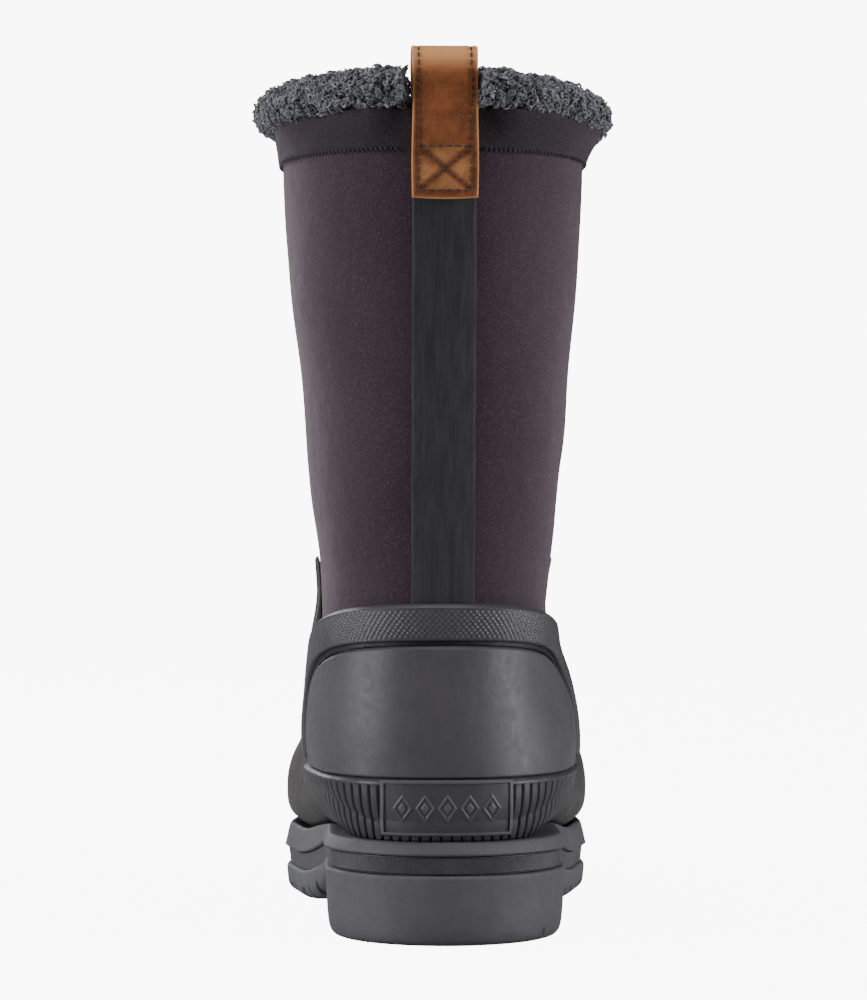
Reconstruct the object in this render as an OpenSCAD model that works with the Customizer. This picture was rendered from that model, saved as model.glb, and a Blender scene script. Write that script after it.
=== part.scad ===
// Fleece-lined winter boot, left foot, with a rubber foot, a soft mid-calf shaft and a rear pull tab.
// Millimetres. +Z is up, the toe points along +Y, +X is the inner side of the foot, and the origin is
// on the ground under the middle of the heel block.

/* [Sole] */
// Length of the sole, back of the heel to the toe
sole_length = 272; // [271:0.5:274]
// Half the width of the heel
heel_half_width = 38.2; // [37:0.1:39]
// Half the width at the ball of the foot
ball_half_width = 53.4; // [52.5:0.1:54]
// Height of the heel block
heel_height = 22.6; // [22.3:0.1:23]
// Height of the forefoot tread
tread_height = 10.3; // [10:0.1:10.6]
// Height of the cross-hatched rand above the tread
rand_height = 5.9; // [5.7:0.1:6.1]
// Height of the welt band that the upper sits on
welt_height = 4.4; // [4.2:0.1:4.6]
// How far the toe lifts off the ground
toe_spring = 9; // [7:0.5:9]
// Where the heel block ends, measured from the back
heel_breast = 78; // [74:1:80]
// Depth of the grooves between the tread lugs
lug_depth = 4; // [2:0.5:5]

/* [Upper] */
// Height of the soft shaft's rim
rim_height = 262; // [258:1:266]
// Half the width of the shaft at its rim
shaft_half_width = 49.3; // [48.5:0.1:50]
// Thickness of the neoprene
neoprene = 3.5; // [3.2:0.1:3.6]
// Thickness of the pile lining
pile = 3.6; // [3:0.1:3.8]
// Thickness of the moulded rubber shell of the foot
rubber = 1.5; // [1.3:0.1:1.6]
// Height of the instep overlay's top edge
overlay_top = 122; // [118:0.5:122]

/* [Heel trim] */
// Height where the ribbed band meets the heel counter
rib_top = 53; // [51:0.5:55]
// Number of ribs on the band round the heel
rib_count = 76; // [60:2:90]
// Height of the heel counter at the back
counter_top = 94.5; // [93:0.5:95]
// Width of the cross-hatched collar above the counter
collar_width = 10.5; // [9:0.5:10.5]
// Size of the blank label plate
label_size = [42, 16.5]; // [10:0.5:43]

/* [Cuff and pull tab] */
// Height of the cuff seam
cuff_seam = 249.5; // [248:0.5:251]
// How far the cuff flares outwards
cuff_flare = 4.6; // [3:0.1:4.8]
// Width of the strip down the back
strip_width = 20.3; // [18:0.1:21]
// Width of the leather pull tab
tab_width = 20.6; // [18:0.1:21]
// Thickness of the leather
leather = 1.6; // [1.2:0.1:1.7]
// Height of the tab's lower end
tab_foot = 234; // [232:0.5:238]
// Height of the top of the tab's loop
tab_top = 282; // [279:0.5:284]

/* [Hidden] */

// Below, y is measured from the back of the heel. seat() moves each piece onto the origin.
heel_centre = 38;
module seat() {
    translate([0, -heel_centre, 0]) children();
}

gap = 0.25;                // air between neighbouring layers
pivot = [150, 150];        // y and z of the line that the rings fan about
ring_pitch = 100;          // length of boot per unit of q, above and beyond the fan
heel_power = 30;           // how tightly the last turns under the heel
last_toe = 268;            // where the inner last ends
tip_drop = 111;            // from the pivot down to the tip of the toe
bottom_gap = 3.3;          // from the welt to the underside of the last

heel_hub = 62;             // y of the upright line that angles round the heel are measured about

// The ankle flexes about a line along X. The upper is split by a cylinder about that line.
flex_axis = [69, 85];
flex_radius = 65.4;
flex_gap = 0.6;

// The pull tab's loop tips about a line along X at the rim.
tab_outer_d = 2.5;
tab_inner_d = -neoprene - pile - 2.5;
loop_base = rim_height + 1.9;

// Outlines of the last. Each is a short list of control points joined by smooth curves.
// Rings are numbered by q: 0 is the ball of the foot, 1 is just above the ankle, 2.2 is the rim.
front_reach = [
    [-0.9, 89], [-0.6, 84], [-0.35, 79], [-0.15, 74.5], [0, 69], [0.14, 61.4], [0.27, 54.6],
    [0.46, 46.8], [0.64, 40.9], [1, 34], [1.5, 28.5], [2.2, 23]
];
back_line = [[30, 4.2], [60, 3.5], [85, 5], [110, 7], [145, 4.6], [180, 1], [230, -2.5], [270, -4.2]];
half_width = [
    [-0.2, 51], [0, 49], [0.17, 44.3], [0.33, 41.3], [0.5, 41.4], [0.58, 39.8], [0.68, 37.2],
    [0.8, 37.9], [1, 40.8], [1.3, 44], [1.6, 46.9], [1.9, 48.8], [2.2, shaft_half_width]
];
centre_line = [[-1.2, 12], [-0.7, 8], [-0.3, 5.5], [0, 4.7], [0.25, 2.5], [0.5, 0.8], [0.8, 0], [2, 0]];
widest_at = [[-1.2, 0.6], [-0.5, 0.7], [0, 0.7], [0.33, 0.66], [0.6, 0.57], [0.8, 0.5], [1.2, 0.5]];
sole_width = [[40, heel_half_width], [70, 38.6], [98, 39.5], [130, 45.5], [172, ball_half_width]];
sole_centre = [[0, 0], [50, 1], [110, 3], [165, 4.7], [200, 6.5], [240, 10], [272, 12.5]];

// ---- Curves -------------------------------------------------------------------------------------

function clamp(t, lo = 0, hi = 1) = min(hi, max(lo, t));
function ease(t) = let (c = clamp(t)) c * c * (3 - 2 * c);
function mix(a, b, t) = a + (b - a) * t;
function power(x, n) = sign(x) * pow(abs(x), n);

// A smooth curve through control points, held level beyond both ends
function rise(p, i) = (p[i + 1][1] - p[i][1]) / (p[i + 1][0] - p[i][0]);
function tangent(p, i) =
    i == 0 ? rise(p, 0) : i == len(p) - 1 ? rise(p, i - 1) : (rise(p, i - 1) + rise(p, i)) / 2;
function span_of(p, t, i = 0) = (i >= len(p) - 2 || t <= p[i + 1][0]) ? i : span_of(p, t, i + 1);
function hermite(p, i, t) =
    let (h = p[i + 1][0] - p[i][0], s = (t - p[i][0]) / h, s2 = s * s, s3 = s2 * s)
    (2 * s3 - 3 * s2 + 1) * p[i][1] + (s3 - 2 * s2 + s) * h * tangent(p, i)
    + (3 * s2 - 2 * s3) * p[i + 1][1] + (s3 - s2) * h * tangent(p, i + 1);
function curve(p, t) = let (c = clamp(t, p[0][0], p[len(p) - 1][0])) hermite(p, span_of(p, c), c);

// ---- Sole levels --------------------------------------------------------------------------------

function heel_pitch(y) = (heel_height - tread_height) * (1 - ease((y - 60) / 90));
function spring_at(y) = toe_spring * pow(max(0, (y - 195) / 77), 2);
function tread_top(y) = tread_height + heel_pitch(y) + spring_at(y);
function rand_top(y) = tread_top(y) + rand_height;
function welt_top(y) = rand_top(y) + welt_height;
function tread_bottom(y) = tread_top(y) - mix(5, tread_height, ease((y - 84) / 41));

// ---- The last: rings that fan from the shaft round the heel and out to the toe --------------------

function toe_end(d) = last_toe + d;
function ring_turn(q) = 90 * (1 - clamp(q));
function ring_y(q) = pivot[0] - ring_pitch * min(0, q);
function ring_z(q) = pivot[1] + ring_pitch * max(0, q - 1);
function toe_half(y, d) = sqrt(max(0.00002, 1 - pow(max(0, y - 170) / (98 + d), 2)));
function toe_rise(y, d) = sqrt(max(0.00002, 1 - pow(max(0, y - 215) / (53 + d), 2)));

function back_reach(q) =
    let (turn = ring_turn(q), wall_z = q >= 1 ? ring_z(q) : max(30, 150 - 146 * tan(min(60, turn))),
        under_y = q <= 0 ? ring_y(q) : max(0, 150 - 114 / tan(max(30, turn))),
        wall = cos(turn) / (pivot[0] - curve(back_line, wall_z)),
        under = sin(turn) / (pivot[1] - welt_top(under_y) - bottom_gap))
    pow(pow(wall, heel_power) + pow(under, heel_power), -1 / heel_power);

// Everything about one ring at offset d: [front reach, back reach, middle, half width, centre, powers]
function ring(q, d) =
    let (y = ring_y(q), lift = toe_rise(y, d),
        front = tip_drop - (tip_drop - curve(front_reach, q)) * lift,
        back = tip_drop + (back_reach(q) - tip_drop) * sqrt(lift),
        middle = mix(front, back, curve(widest_at, q)),
        grow = d * min(1, toe_half(y, d) * 1.6))
    [
        middle - front + grow,
        back - middle + grow,
        middle,
        (curve(half_width, q) + d) * toe_half(y, d),
        curve(centre_line, q),
        mix(2, 2.2, ease(q)),
        mix(3.8, 2.25, ease((q - 0.3) / 0.3))
    ];

// turn 0 is the front or top of a ring, 90 its inner side (+X), 180 its back or underside
function on_ring(r, q, turn) =
    let (c = cos(turn), s = sin(turn), n = c >= 0 ? r[5] : r[6],
        reach = r[2] - (c >= 0 ? r[0] : r[1]) * power(c, 2 / n),
        tilt = ring_turn(q))
    [
        r[4] + r[3] * power(s, 2 / n),
        ring_y(q) - reach * cos(tilt),
        ring_z(q) - reach * sin(tilt)
    ];
function last(q, turn, d) = on_ring(ring(q, d), q, turn);

// The ring at which the last reaches a height, or the flex cylinder's radius
function flex_reach(p) = norm([p[1] - flex_axis[0], p[2] - flex_axis[1]]);
function q_at_z(turn, z, d, lo = 0, hi = 1.2, n = 13) =
    let (m = (lo + hi) / 2)
    n == 0 ? m : last(m, turn, d)[2] > z ? q_at_z(turn, z, d, lo, m, n - 1)
        : q_at_z(turn, z, d, m, hi, n - 1);
function flex_search(turn, radius, d, lo, hi, n = 13) =
    let (m = (lo + hi) / 2)
    n == 0 ? m : flex_reach(last(m, turn, d)) > radius ? flex_search(turn, radius, d, lo, m, n - 1)
        : flex_search(turn, radius, d, m, hi, n - 1);
function q_at_flex(turn, radius, d) =
    flex_search(turn, radius, d, mix(0.75, 0.45, ease((abs(turn - 180) - 30) / 70)), 1.2);
function q_of_z(z) = 1 + (z - pivot[1]) / ring_pitch;
function q_of_y(y) = (pivot[0] - y) / ring_pitch;

// Where the last meets a height, at an angle round the heel measured from the back towards +X
function round_heel(p) = atan2(p[0], heel_hub - p[1]);
function heel_place(angle, z, d, lo = 72, hi = 288, n = 12) =
    let (m = (lo + hi) / 2, q = q_at_z(m, z, d))
    n == 0 ? [q, m, d] : round_heel(last(q, m, d)) > angle ? heel_place(angle, z, d, m, hi, n - 1)
        : heel_place(angle, z, d, lo, m, n - 1);

// Where a point at width x and height z lies on the back of the boot
function turn_at_x(q, x, d) = let (r = ring(q, d)) 180 - sign(x) * asin(pow(clamp(abs(x) / r[3]), r[6] / 2));
function back_place(x, z, d) =
    let (q1 = z > 150 ? q_of_z(z) : q_at_z(180, z, d), t1 = turn_at_x(q1, x, d),
        q2 = z > 150 ? q_of_z(z) : q_at_z(t1, z, d))
    [q2, turn_at_x(q2, x, d), d];

// ---- Shells -------------------------------------------------------------------------------------

// A closed solid between two faces. place(u, v, side) gives a point, with side 0 the inner face.
module sheet(place, nu, nv, closed = false) {
    columns = closed ? nu : nu + 1;
    face = columns * (nv + 1);
    points = [
        for (side = [0, 1], i = [0:columns - 1], j = [0:nv])
            place(i / nu, j / nv, side)
    ];
    function id(side, i, j) = side * face + (i % columns) * (nv + 1) + j;
    skin = [
        for (i = [0:nu - 1], j = [0:nv - 1], half = [0, 1])
            half == 0 ? [id(1, i, j), id(1, i + 1, j), id(1, i + 1, j + 1)]
                : [id(1, i, j), id(1, i + 1, j + 1), id(1, i, j + 1)]
    ];
    lining = [for (f = skin) [f[0] - face, f[2] - face, f[1] - face]];
    rims = [
        for (i = [0:nu - 1], j = [0, nv], half = [0, 1])
            let (a = id(1, j == 0 ? i + 1 : i, j), b = id(1, j == 0 ? i : i + 1, j))
            half == 0 ? [a, b, b - face] : [a, b - face, a - face]
    ];
    ends = closed ? [] : [
        for (i = [0, nu], j = [0:nv - 1], half = [0, 1])
            let (a = id(1, i, i == 0 ? j : j + 1), b = id(1, i, i == 0 ? j + 1 : j))
            half == 0 ? [a, b, b - face] : [a, b - face, a - face]
    ];
    polyhedron(points = points, faces = concat(skin, lining, rims, ends), convexity = 8);
}

// The same, with at(u, v, side) giving a place on the last as [q, turn, d]
module shell(at, nu, nv, closed = false) {
    sheet(function(u, v, side) let (p = at(u, v, side)) last(p[0], p[1], p[2]), nu, nv, closed);
}

// Rows of rings that all the foot's shells share, so that they nest: from the toe to the ball, packed
// closely where the toe rounds off, then to the back of the heel, then up to each shell's own top
foot_rows = 24;
foot_columns = 28;
ball_row = 10 / foot_rows;
heel_row = 19 / foot_rows;
last_stretch = 0.07;
heel_q = 0.67;
function q_to_shaft(v, d) =
    v < ball_row ? q_of_y(pivot[0] + (toe_end(d) - pivot[0]) * sin(89.4 * (1 - v / ball_row)))
        : v < heel_row ? heel_q * (1 - pow((heel_row - v) / (heel_row - ball_row), 1.7))
        : mix(heel_q, 1, (v - heel_row) / (1 - heel_row));

// The same rows cut short at q_end: those beyond the last stretch close up into it.
function q_from_toe(v, q_end, d) =
    let (q = q_to_shaft(v, d), q_last = q_end - last_stretch)
    q_end == 1 || q < q_last ? q : mix(q_last, q_end, (q - q_last) / (1 - q_last));

// ---- Sole ---------------------------------------------------------------------------------------

function sole_half(y, inset) =
    y < 40 ? (heel_half_width - inset) * sqrt(1 - pow((40 - y) / (40 - inset), 2))
        : y > 172 ? (ball_half_width - inset) * sqrt(1 - pow((y - 172) / (sole_length - 172 - inset), 2))
        : curve(sole_width, y) - inset;
function sole_edge(inset, side) = [
    for (t = [3:6:177])
        let (y = mix(inset, sole_length - inset, (1 - cos(t)) / 2))
        [curve(sole_centre, y) + side * max(0.5, sole_half(y, inset)), y]
];
module sole_plan(inset) {
    edge = sole_edge(inset, -1);
    polygon(concat(sole_edge(inset, 1), [for (i = [len(edge) - 1:-1:0]) edge[i]]));
}
// A slab of the sole between two height functions of y
module sole_slab(low, high, inset, y0 = 0, y1 = sole_length, step = 8) {
    ys = concat([for (y = [y0:step:y1 - 0.5]) y], [y1]);
    underside = [for (y = ys) [y, low(y)]];
    topside = [for (i = [len(ys) - 1:-1:0]) [ys[i], high(ys[i])]];
    intersection() {
        linear_extrude(60) sole_plan(inset);
        rotate([90, 0, 90]) linear_extrude(160, center = true) polygon(concat(underside, topside));
    }
}
module lug_grooves(places, width) {
    for (place = places)
        translate([place[0], place[1], -1]) rotate(place[2]) translate([-place[3] / 2, -width / 2, 0])
            cube([place[3], width, lug_depth + 1]);
}
module heel_block() {
    color("#5b5a60") seat() difference() {
        intersection() {
            sole_slab(function(y) 0, function(y) tread_top(y) - gap, 0, 0, heel_breast);
            union() {
                linear_extrude(60) sole_plan(1.2);
                translate([0, 0, 1.2]) linear_extrude(60) sole_plan(-1);
            }
        }
        lug_grooves([[-22, 52, 14, 44], [22, 52, -14, 44], [0, 22, 0, 34]], 3);
    }
}
module forefoot_tread() {
    color("#626268") seat() difference() {
        sole_slab(function(y) tread_bottom(y), function(y) tread_top(y) - gap, 0, heel_breast + 4);
        lug_grooves([
            for (row = [0:5], side = [-1, 1])
                [5 + row * 1.5 + side * 34, 118 + row * 25, side * -16, 58]
        ], 3.2);
        for (row = [0:4])
            translate([6 + row * 1.6, 131 + row * 25, -1]) cylinder(h = lug_depth + 1, r = 4.5, $fn = 48);
    }
}
module textured_rand() {
    inset = 1.6;
    color("#3d3c42") seat()
        sole_slab(function(y) tread_top(y), function(y) rand_top(y) - gap, inset, inset, sole_length - inset);
}
// The shank lies in a pocket in the top of the welt, in the waist of the sole
shank_size = [14, 90, 1.6];
shank_corner = [-4, 48];
pocket_room = [1.5, 2, 0.3];
module shank_column(room_x, room_y) {
    translate([shank_corner[0] - room_x, shank_corner[1] - room_y, 0])
        cube([shank_size[0] + 2 * room_x, shank_size[1] + 2 * room_y, 60]);
}
module welt() {
    overhang = 0.9;
    floor_drop = shank_size[2] + 2 * pocket_room[2];
    color("#646468") seat() difference() {
        sole_slab(function(y) rand_top(y), function(y) welt_top(y), -overhang, -0.5, sole_length + 0.5);
        shank_column(pocket_room[0], pocket_room[1]);
    }
    color("#646468") seat() intersection() {
        sole_slab(function(y) rand_top(y), function(y) welt_top(y) - floor_drop, 3, 46, 140);
        shank_column(pocket_room[0], pocket_room[1]);
    }
}
module shank() {
    top_drop = pocket_room[2];
    bottom_drop = top_drop + shank_size[2];
    color("#8a8d92") seat() intersection() {
        sole_slab(function(y) welt_top(y) - bottom_drop, function(y) welt_top(y) - top_drop, 3, 48, 138);
        shank_column(0, 0);
    }
}

// ---- Inside the foot ----------------------------------------------------------------------------

sock_d = -neoprene - 0.5;           // outer face of the lining
foot_pile = 2.8;                    // lining thickness in the foot
inside_d = sock_d - foot_pile;      // inner face of the lining in the foot

function foot_sleeve(u, v, d, cut) =
    let (turn = 360 * u, q_end = q_at_flex(turn, flex_radius - flex_gap, d))
    [q_from_toe(v, q_end, d), turn, d];
module foot_sleeve_between(inner, outer) {
    shell(function(u, v, side) foot_sleeve(u, v, side == 0 ? inner : outer), foot_columns, foot_rows, true);
}
module ankle_neoprene() {
    color("#4a414a") seat() foot_sleeve_between(-neoprene, 0);
}
module foot_lining() {
    color("#5b5a60") seat() foot_sleeve_between(inside_d, sock_d);
}
// A layer across the floor of the boot, from h0 to h1 above the lining. Its faces rise towards the edges
// by an amount each: dish[0] for the lower face, dish[1] for the upper one.
module floor_layer(h0, h1, margin, dish = [0, 0], q_heel = 0.48, q_toe = -0.8) {
    d = inside_d - 0.7;
    sheet(function(u, v, side)
        let (q = mix(q_toe, q_heel, v), r = ring(q, d), edge = pow(2 * u - 1, 2),
            h = side == 1 ? h0 + dish[0] * edge : h1 + dish[1] * edge,
            half = r[3] * pow(1 - pow(max(0, 1 - h0 / r[1]), r[6]), 1 / r[6]) - margin,
            reach = r[2] + r[1] - h, tilt = ring_turn(q))
        [
            r[4] + half * mix(1, -1, u),
            ring_y(q) - reach * cos(tilt),
            ring_z(q) - reach * sin(tilt)
        ], 6, 16);
}
bed_dish = 0.8;         // how far the footbed's top rises towards its edges
module insole_board() {
    color("#b59a73") seat() floor_layer(0.3, 1.6, 0.5);
}
module footbed() {
    color("#8f6d4f") seat() floor_layer(2, 5, 1.2, [0, bed_dish]);
}
module footbed_cover() {
    color("#77757b") seat() floor_layer(5.3, 6.9, 4, [bed_dish, 1.25 * bed_dish]);
}
// Stiff heel cup and toe puff sit just inside the rubber shell
cup_d = [0.3, 0.7];
column = 360 / foot_columns;
module heel_stiffener() {
    low = 61;
    color("#c2b8a4") seat() shell(function(u, v, side)
        let (d = cup_d[side], turn = 180 + mix(-4, 4, u) * column, top = 82 - 12 * pow(abs(2 * u - 1), 2.5))
        [mix(q_at_z(turn, low, d), q_at_z(turn, top, d), v), turn, d], 8, 4);
}
module toe_puff() {
    color("#c2b8a4") seat() shell(function(u, v, side)
        let (d = cup_d[side])
        [q_from_toe(mix(2, 6, v) / foot_rows, 1, d), mix(-8, 8, u) * column, d], 16, 4);
}

// ---- Rubber foot --------------------------------------------------------------------------------

shell_d = [cup_d[1] + 0.4, cup_d[1] + 0.4 + rubber]; // moulded shell
trim_d = shell_d[1] + 0.35;                            // where the overlays start

function shell_top(turn) =
    let (back = ease((abs(turn) - 60) / 100)) mix(0.42, q_at_z(180, 92, shell_d[1]), back);
module foot_shell() {
    color("#343237") seat() shell(function(u, v, side)
        let (turn = mix(-180, 180, u), d = shell_d[side]) [q_from_toe(v, shell_top(turn), d), turn, d],
        foot_columns, foot_rows, true);
}
module toe_bumper() {
    color("#3a383d") seat() shell(function(u, v, side)
        let (turn = mix(-1, 1, u) * mix(128, 134, v), d = side == 0 ? trim_d : trim_d + 1.5)
        [q_of_y(mix(toe_end(d) - 0.02, 228, pow(v, 1.8))), turn, d], 24, 6);
}
overlay_low = 0.3;
overlay_angle = [95, 81]; // where its back edges stand at their foot and top, as angles round the heel
overlay_foot = 81;      // height of the lower end of its back edges
function overlay_place(u, v, d) =
    let (across = 2 * u - 1, front = mix(overlay_low, q_at_z(0, overlay_top, d), v),
        angle = sign(across) * mix(overlay_angle[0], overlay_angle[1], v),
        edge = heel_place(angle, mix(overlay_foot, overlay_top, v), d),
        side_turn = edge[1] > 180 ? edge[1] - 360 : edge[1])
    [mix(front, edge[0], pow(abs(across), 1.6)), abs(across) * side_turn, d];
module instep_overlay() {
    color("#3c393f") seat() shell(function(u, v, side)
        let (p = overlay_place(u, v, trim_d), clear = p[0] > shell_top(p[1]) + 0.1)
        [p[0], p[1], side == 1 ? trim_d + 1.3 : clear ? 0.9 : trim_d + 0.1], 24, 10);
}
module overlay_piping() {
    color("#2b292e") seat() shell(function(u, v, side)
        overlay_place(mix(0.03, 0.97, u), mix(0.93, 0.95, v), trim_d + (side == 0 ? 1.5 : 2.1)), 24, 1);
}

// ---- Heel trim ----------------------------------------------------------------------------------

counter_angle = 80;     // how far the counter reaches round each side
foxing_angle = 106;     // how far the ribbed band reaches
foxing_low = 34.9;      // lower edge of the ribbed band
groove = 2.6;           // the dark groove between the counter and the collar
arch_power = 2.4;

// The arch over the heel: a rounded outline in angle and height, grown outwards by an amount
function arch(a, grow) =
    [
        (counter_angle + grow * 1.3) * power(cos(a), 2 / arch_power),
        rib_top + gap + (counter_top + grow - rib_top) * pow(max(0, sin(a)), 2 / arch_power)
    ];
function arch_place(a, grow, d) = let (p = arch(a, grow)) heel_place(p[0], p[1], d);

module ribbed_foxing() {
    ribs = rib_count * 2;
    color("#333137") seat() shell(function(u, v, side)
        let (ridge = round(u * ribs) % 2 == 0 || v == 1 ? 0 : 0.7,
            d = trim_d + (side == 0 ? 0.3 : 1.3 + ridge))
        heel_place(mix(foxing_angle, -foxing_angle, u), mix(foxing_low, rib_top, pow(v, 2)), d), ribs, 4);
}
module label_plate() {
    half = label_size[0] / 2;
    base = rib_top - label_size[1] - 0.5;
    module raised(x0, x1, z0, z1, d0, d1, nu, nv) {
        shell(function(u, v, side) back_place(mix(x1, x0, u), mix(z0, z1, v), side == 0 ? d0 : d1), nu, nv);
    }
    low = trim_d + 2.45;
    top = base + label_size[1];
    color("#413f44") seat() raised(-half, half, base, top, low, low + 0.6, 16, 6);
    color("#535258") seat() {
        for (z = [base + 0.1, top - 1.1]) raised(-half, half, z, z + 1, low + 0.65, low + 1.1, 16, 1);
        for (x = [-half, half - 1]) raised(x, x + 1, base + 1.3, top - 1.3, low + 0.65, low + 1.1, 1, 3);
    }
}
module heel_counter() {
    color("#4b494e") seat() shell(function(u, v, side)
        let (x = mix(0.985, -0.985, u), low = rib_top + gap,
            top = low + (counter_top - low) * pow(1 - pow(abs(x), arch_power), 1 / arch_power))
        heel_place(counter_angle * x, mix(low, top, v), trim_d + (side == 0 ? gap : 1.6)), 26, 4);
}
module counter_gasket() {
    color("#141317") seat() shell(function(u, v, side)
        arch_place(mix(2, 178, u), mix(0.35, groove - 0.35, v), side == 0 ? trim_d : trim_d + 0.5), 36, 1);
}
module counter_collar() {
    color("#3a383d") seat() shell(function(u, v, side)
        let (grow = groove + (collar_width - 0.3) * v)
        arch_place(mix(1.5, 178.5, u), grow, trim_d + (side == 0 ? 0.2 : 2.2)), 36, 2);
}

// ---- Shaft --------------------------------------------------------------------------------------

function shaft_sleeve(u, v, d, top) =
    let (turn = 360 * u, low = q_at_flex(turn, flex_radius, d)) [mix(low, q_of_z(top), v), turn, d];
module shaft_sleeve_between(inner, outer) {
    shell(function(u, v, side) shaft_sleeve(u, v, side == 0 ? inner : outer, rim_height), 36, 9, true);
}
module shaft_neoprene() {
    color("#4d434d") seat() shaft_sleeve_between(-neoprene, 0);
}
module shaft_lining() {
    color("#5f5e64") seat() shaft_sleeve_between(sock_d - pile, sock_d);
}
strip_foot = 113.5;     // its lower end, clear of the collar as the shaft leans back
module back_strip() {
    half = strip_width / 2;
    color("#2a292d") seat() shell(function(u, v, side)
        back_place(mix(half, -half, u), mix(strip_foot, cuff_seam - 1, v), side == 0 ? 0.7 : 1.3), 6, 10);
}

// The cuff flares out, but lies flat behind the pull tab
function flat_at_tab(turn) = 1 - exp(-pow((turn - 180) / 18, 6));
function cuff_d(turn, z) = 1.9 + cuff_flare * flat_at_tab(turn) * ease((z - cuff_seam) / 12);
module cuff_band() {
    color("#2d282f") seat() shell(function(u, v, side)
        let (turn = 360 * u, z = mix(cuff_seam, rim_height - 0.4, v))
        [q_of_z(z), turn, side == 0 ? 0.4 : cuff_d(turn, z)],
        40, 3, true);
}
stitch_count = 84;
module cuff_stitches() {
    z = cuff_seam + 1.8;
    color("#1f1b21") seat() for (i = [0:stitch_count - 1])
        let (turn = 360 * (i + 0.5) / stitch_count, d = cuff_d(turn, z) + 0.8, p = last(q_of_z(z), turn, d),
            ahead = last(q_of_z(z), turn + 1, d))
            if (abs(turn - 180) > 17)
                translate(p) rotate(atan2(ahead[1] - p[1], ahead[0] - p[0]))
                    cube([2.4, 0.5, 0.6], center = true);
}
module fleece_trim() {
    // a soft roll over the rim, pressed flat between the legs of the pull tab's loop
    nu = 64;
    nv = 10;
    points = [
        for (i = [0:nu - 1], j = [0:nv - 1])
            let (s = 2 * i / nu - 1, turn = 180 + 90 * (s + s * s * s), a = 360 * j / nv,
                full = 1 - exp(-pow((turn - 180) / 14.8, 12)),
                d = mix(-2.9, 0.9, full) + mix(3.6, 8.6, full) * cos(a),
                z = rim_height + mix(2.0, 6.8, full) + mix(1.5, 6.2, full) * sin(a))
            last(q_of_z(z), turn, d)
    ];
    function id(i, j) = (i % nu) * nv + j % nv;
    color("#5c5a60") seat() polyhedron(points = points, faces = [
        for (i = [0:nu - 1], j = [0:nv - 1], half = [0, 1])
            half == 0 ? [id(i, j), id(i + 1, j), id(i + 1, j + 1)]
                : [id(i, j), id(i + 1, j + 1), id(i, j + 1)]
    ], convexity = 8);
}

// ---- Pull tab -----------------------------------------------------------------------------------

function back_y(z, d) = curve(back_line, z) - d;
rim_y = [back_y(loop_base, tab_outer_d), back_y(loop_base, tab_inner_d)];
loop_middle = (rim_y[0] + rim_y[1]) / 2;
module strap(profile, width) {
    rotate([90, 0, 90]) linear_extrude(width, center = true) polygon(profile);
}
module leg(z0, z1, d, thickness) {
    zs = [for (i = [0:4]) mix(z0, z1, i / 4)];
    near = [for (z = zs) [back_y(z, d), z]];
    far = [for (i = [4:-1:0]) [back_y(zs[i], d + thickness), zs[i]]];
    strap(concat(near, far), tab_width);
}
module pull_tab_anchor() {
    color("#8a4f30") seat() {
        leg(tab_foot, loop_base - 1.7, tab_outer_d, leather);
        leg(tab_foot + 6, loop_base - 1.7, tab_inner_d, -leather);
    }
}
module pull_tab_loop() {
    half = (rim_y[1] - rim_y[0]) / 2;
    bow_height = 11;
    bow_base = tab_top - bow_height;
    function bow(out, n) = [
        for (i = [0:n])
            let (a = 180 * i / n)
            [loop_middle - (half + out) * cos(a), bow_base + (bow_height - leather + out) * sin(a)]
    ];
    outer = bow(leather, 16);
    inner = bow(0, 16);
    color("#d9a06c") seat() strap(concat(
        [[outer[0][0], loop_base]], outer, [[outer[16][0], loop_base], [inner[16][0], loop_base]],
        [for (i = [16:-1:0]) inner[i]], [[inner[0][0], loop_base]]), tab_width);
}
module pull_tab_stitches() {
    z0 = tab_foot + 2.2;
    box = [tab_width - 4.6, 13];
    d = tab_outer_d + leather + 0.35;
    module stitch(x, z, turn) {
        translate([x, back_y(z, d), z]) rotate([0, turn, 0]) cube([1.9, 0.4, 0.5], center = true);
    }
    color("#3a2015") seat() {
        for (i = [0:5], z = [z0, z0 + box[1]])
            stitch(mix(-box[0], box[0], i / 5) / 2 * 0.86, z, 0);
        for (i = [0:8], x = [-1, 1])
            stitch(x * box[0] / 2, z0 + 1.4 + i * 2.9, 90);
        for (i = [0:4], side = [-1, 1])
            if (i != 2) {
                x = side * mix(-1, 1, i / 4) * (box[0] / 2 - 2.6);
                stitch(x, mix(z0 + 2.2, z0 + box[1] - 2.2, i / 4), -side * 40);
            }
    }
}

heel_block();
forefoot_tread();
textured_rand();
welt();
shank();
insole_board();
footbed();
footbed_cover();
foot_lining();
ankle_neoprene();
heel_stiffener();
toe_puff();
foot_shell();
toe_bumper();
instep_overlay();
overlay_piping();
ribbed_foxing();
label_plate();
heel_counter();
counter_gasket();
counter_collar();
shaft_neoprene();
shaft_lining();
back_strip();
cuff_band();
cuff_stitches();
fleece_trim();
pull_tab_anchor();
pull_tab_loop();
pull_tab_stitches();
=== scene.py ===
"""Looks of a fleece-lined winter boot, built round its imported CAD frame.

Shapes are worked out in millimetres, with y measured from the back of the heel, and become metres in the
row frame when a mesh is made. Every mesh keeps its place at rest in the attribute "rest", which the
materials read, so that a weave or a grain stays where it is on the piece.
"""
import math

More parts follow.
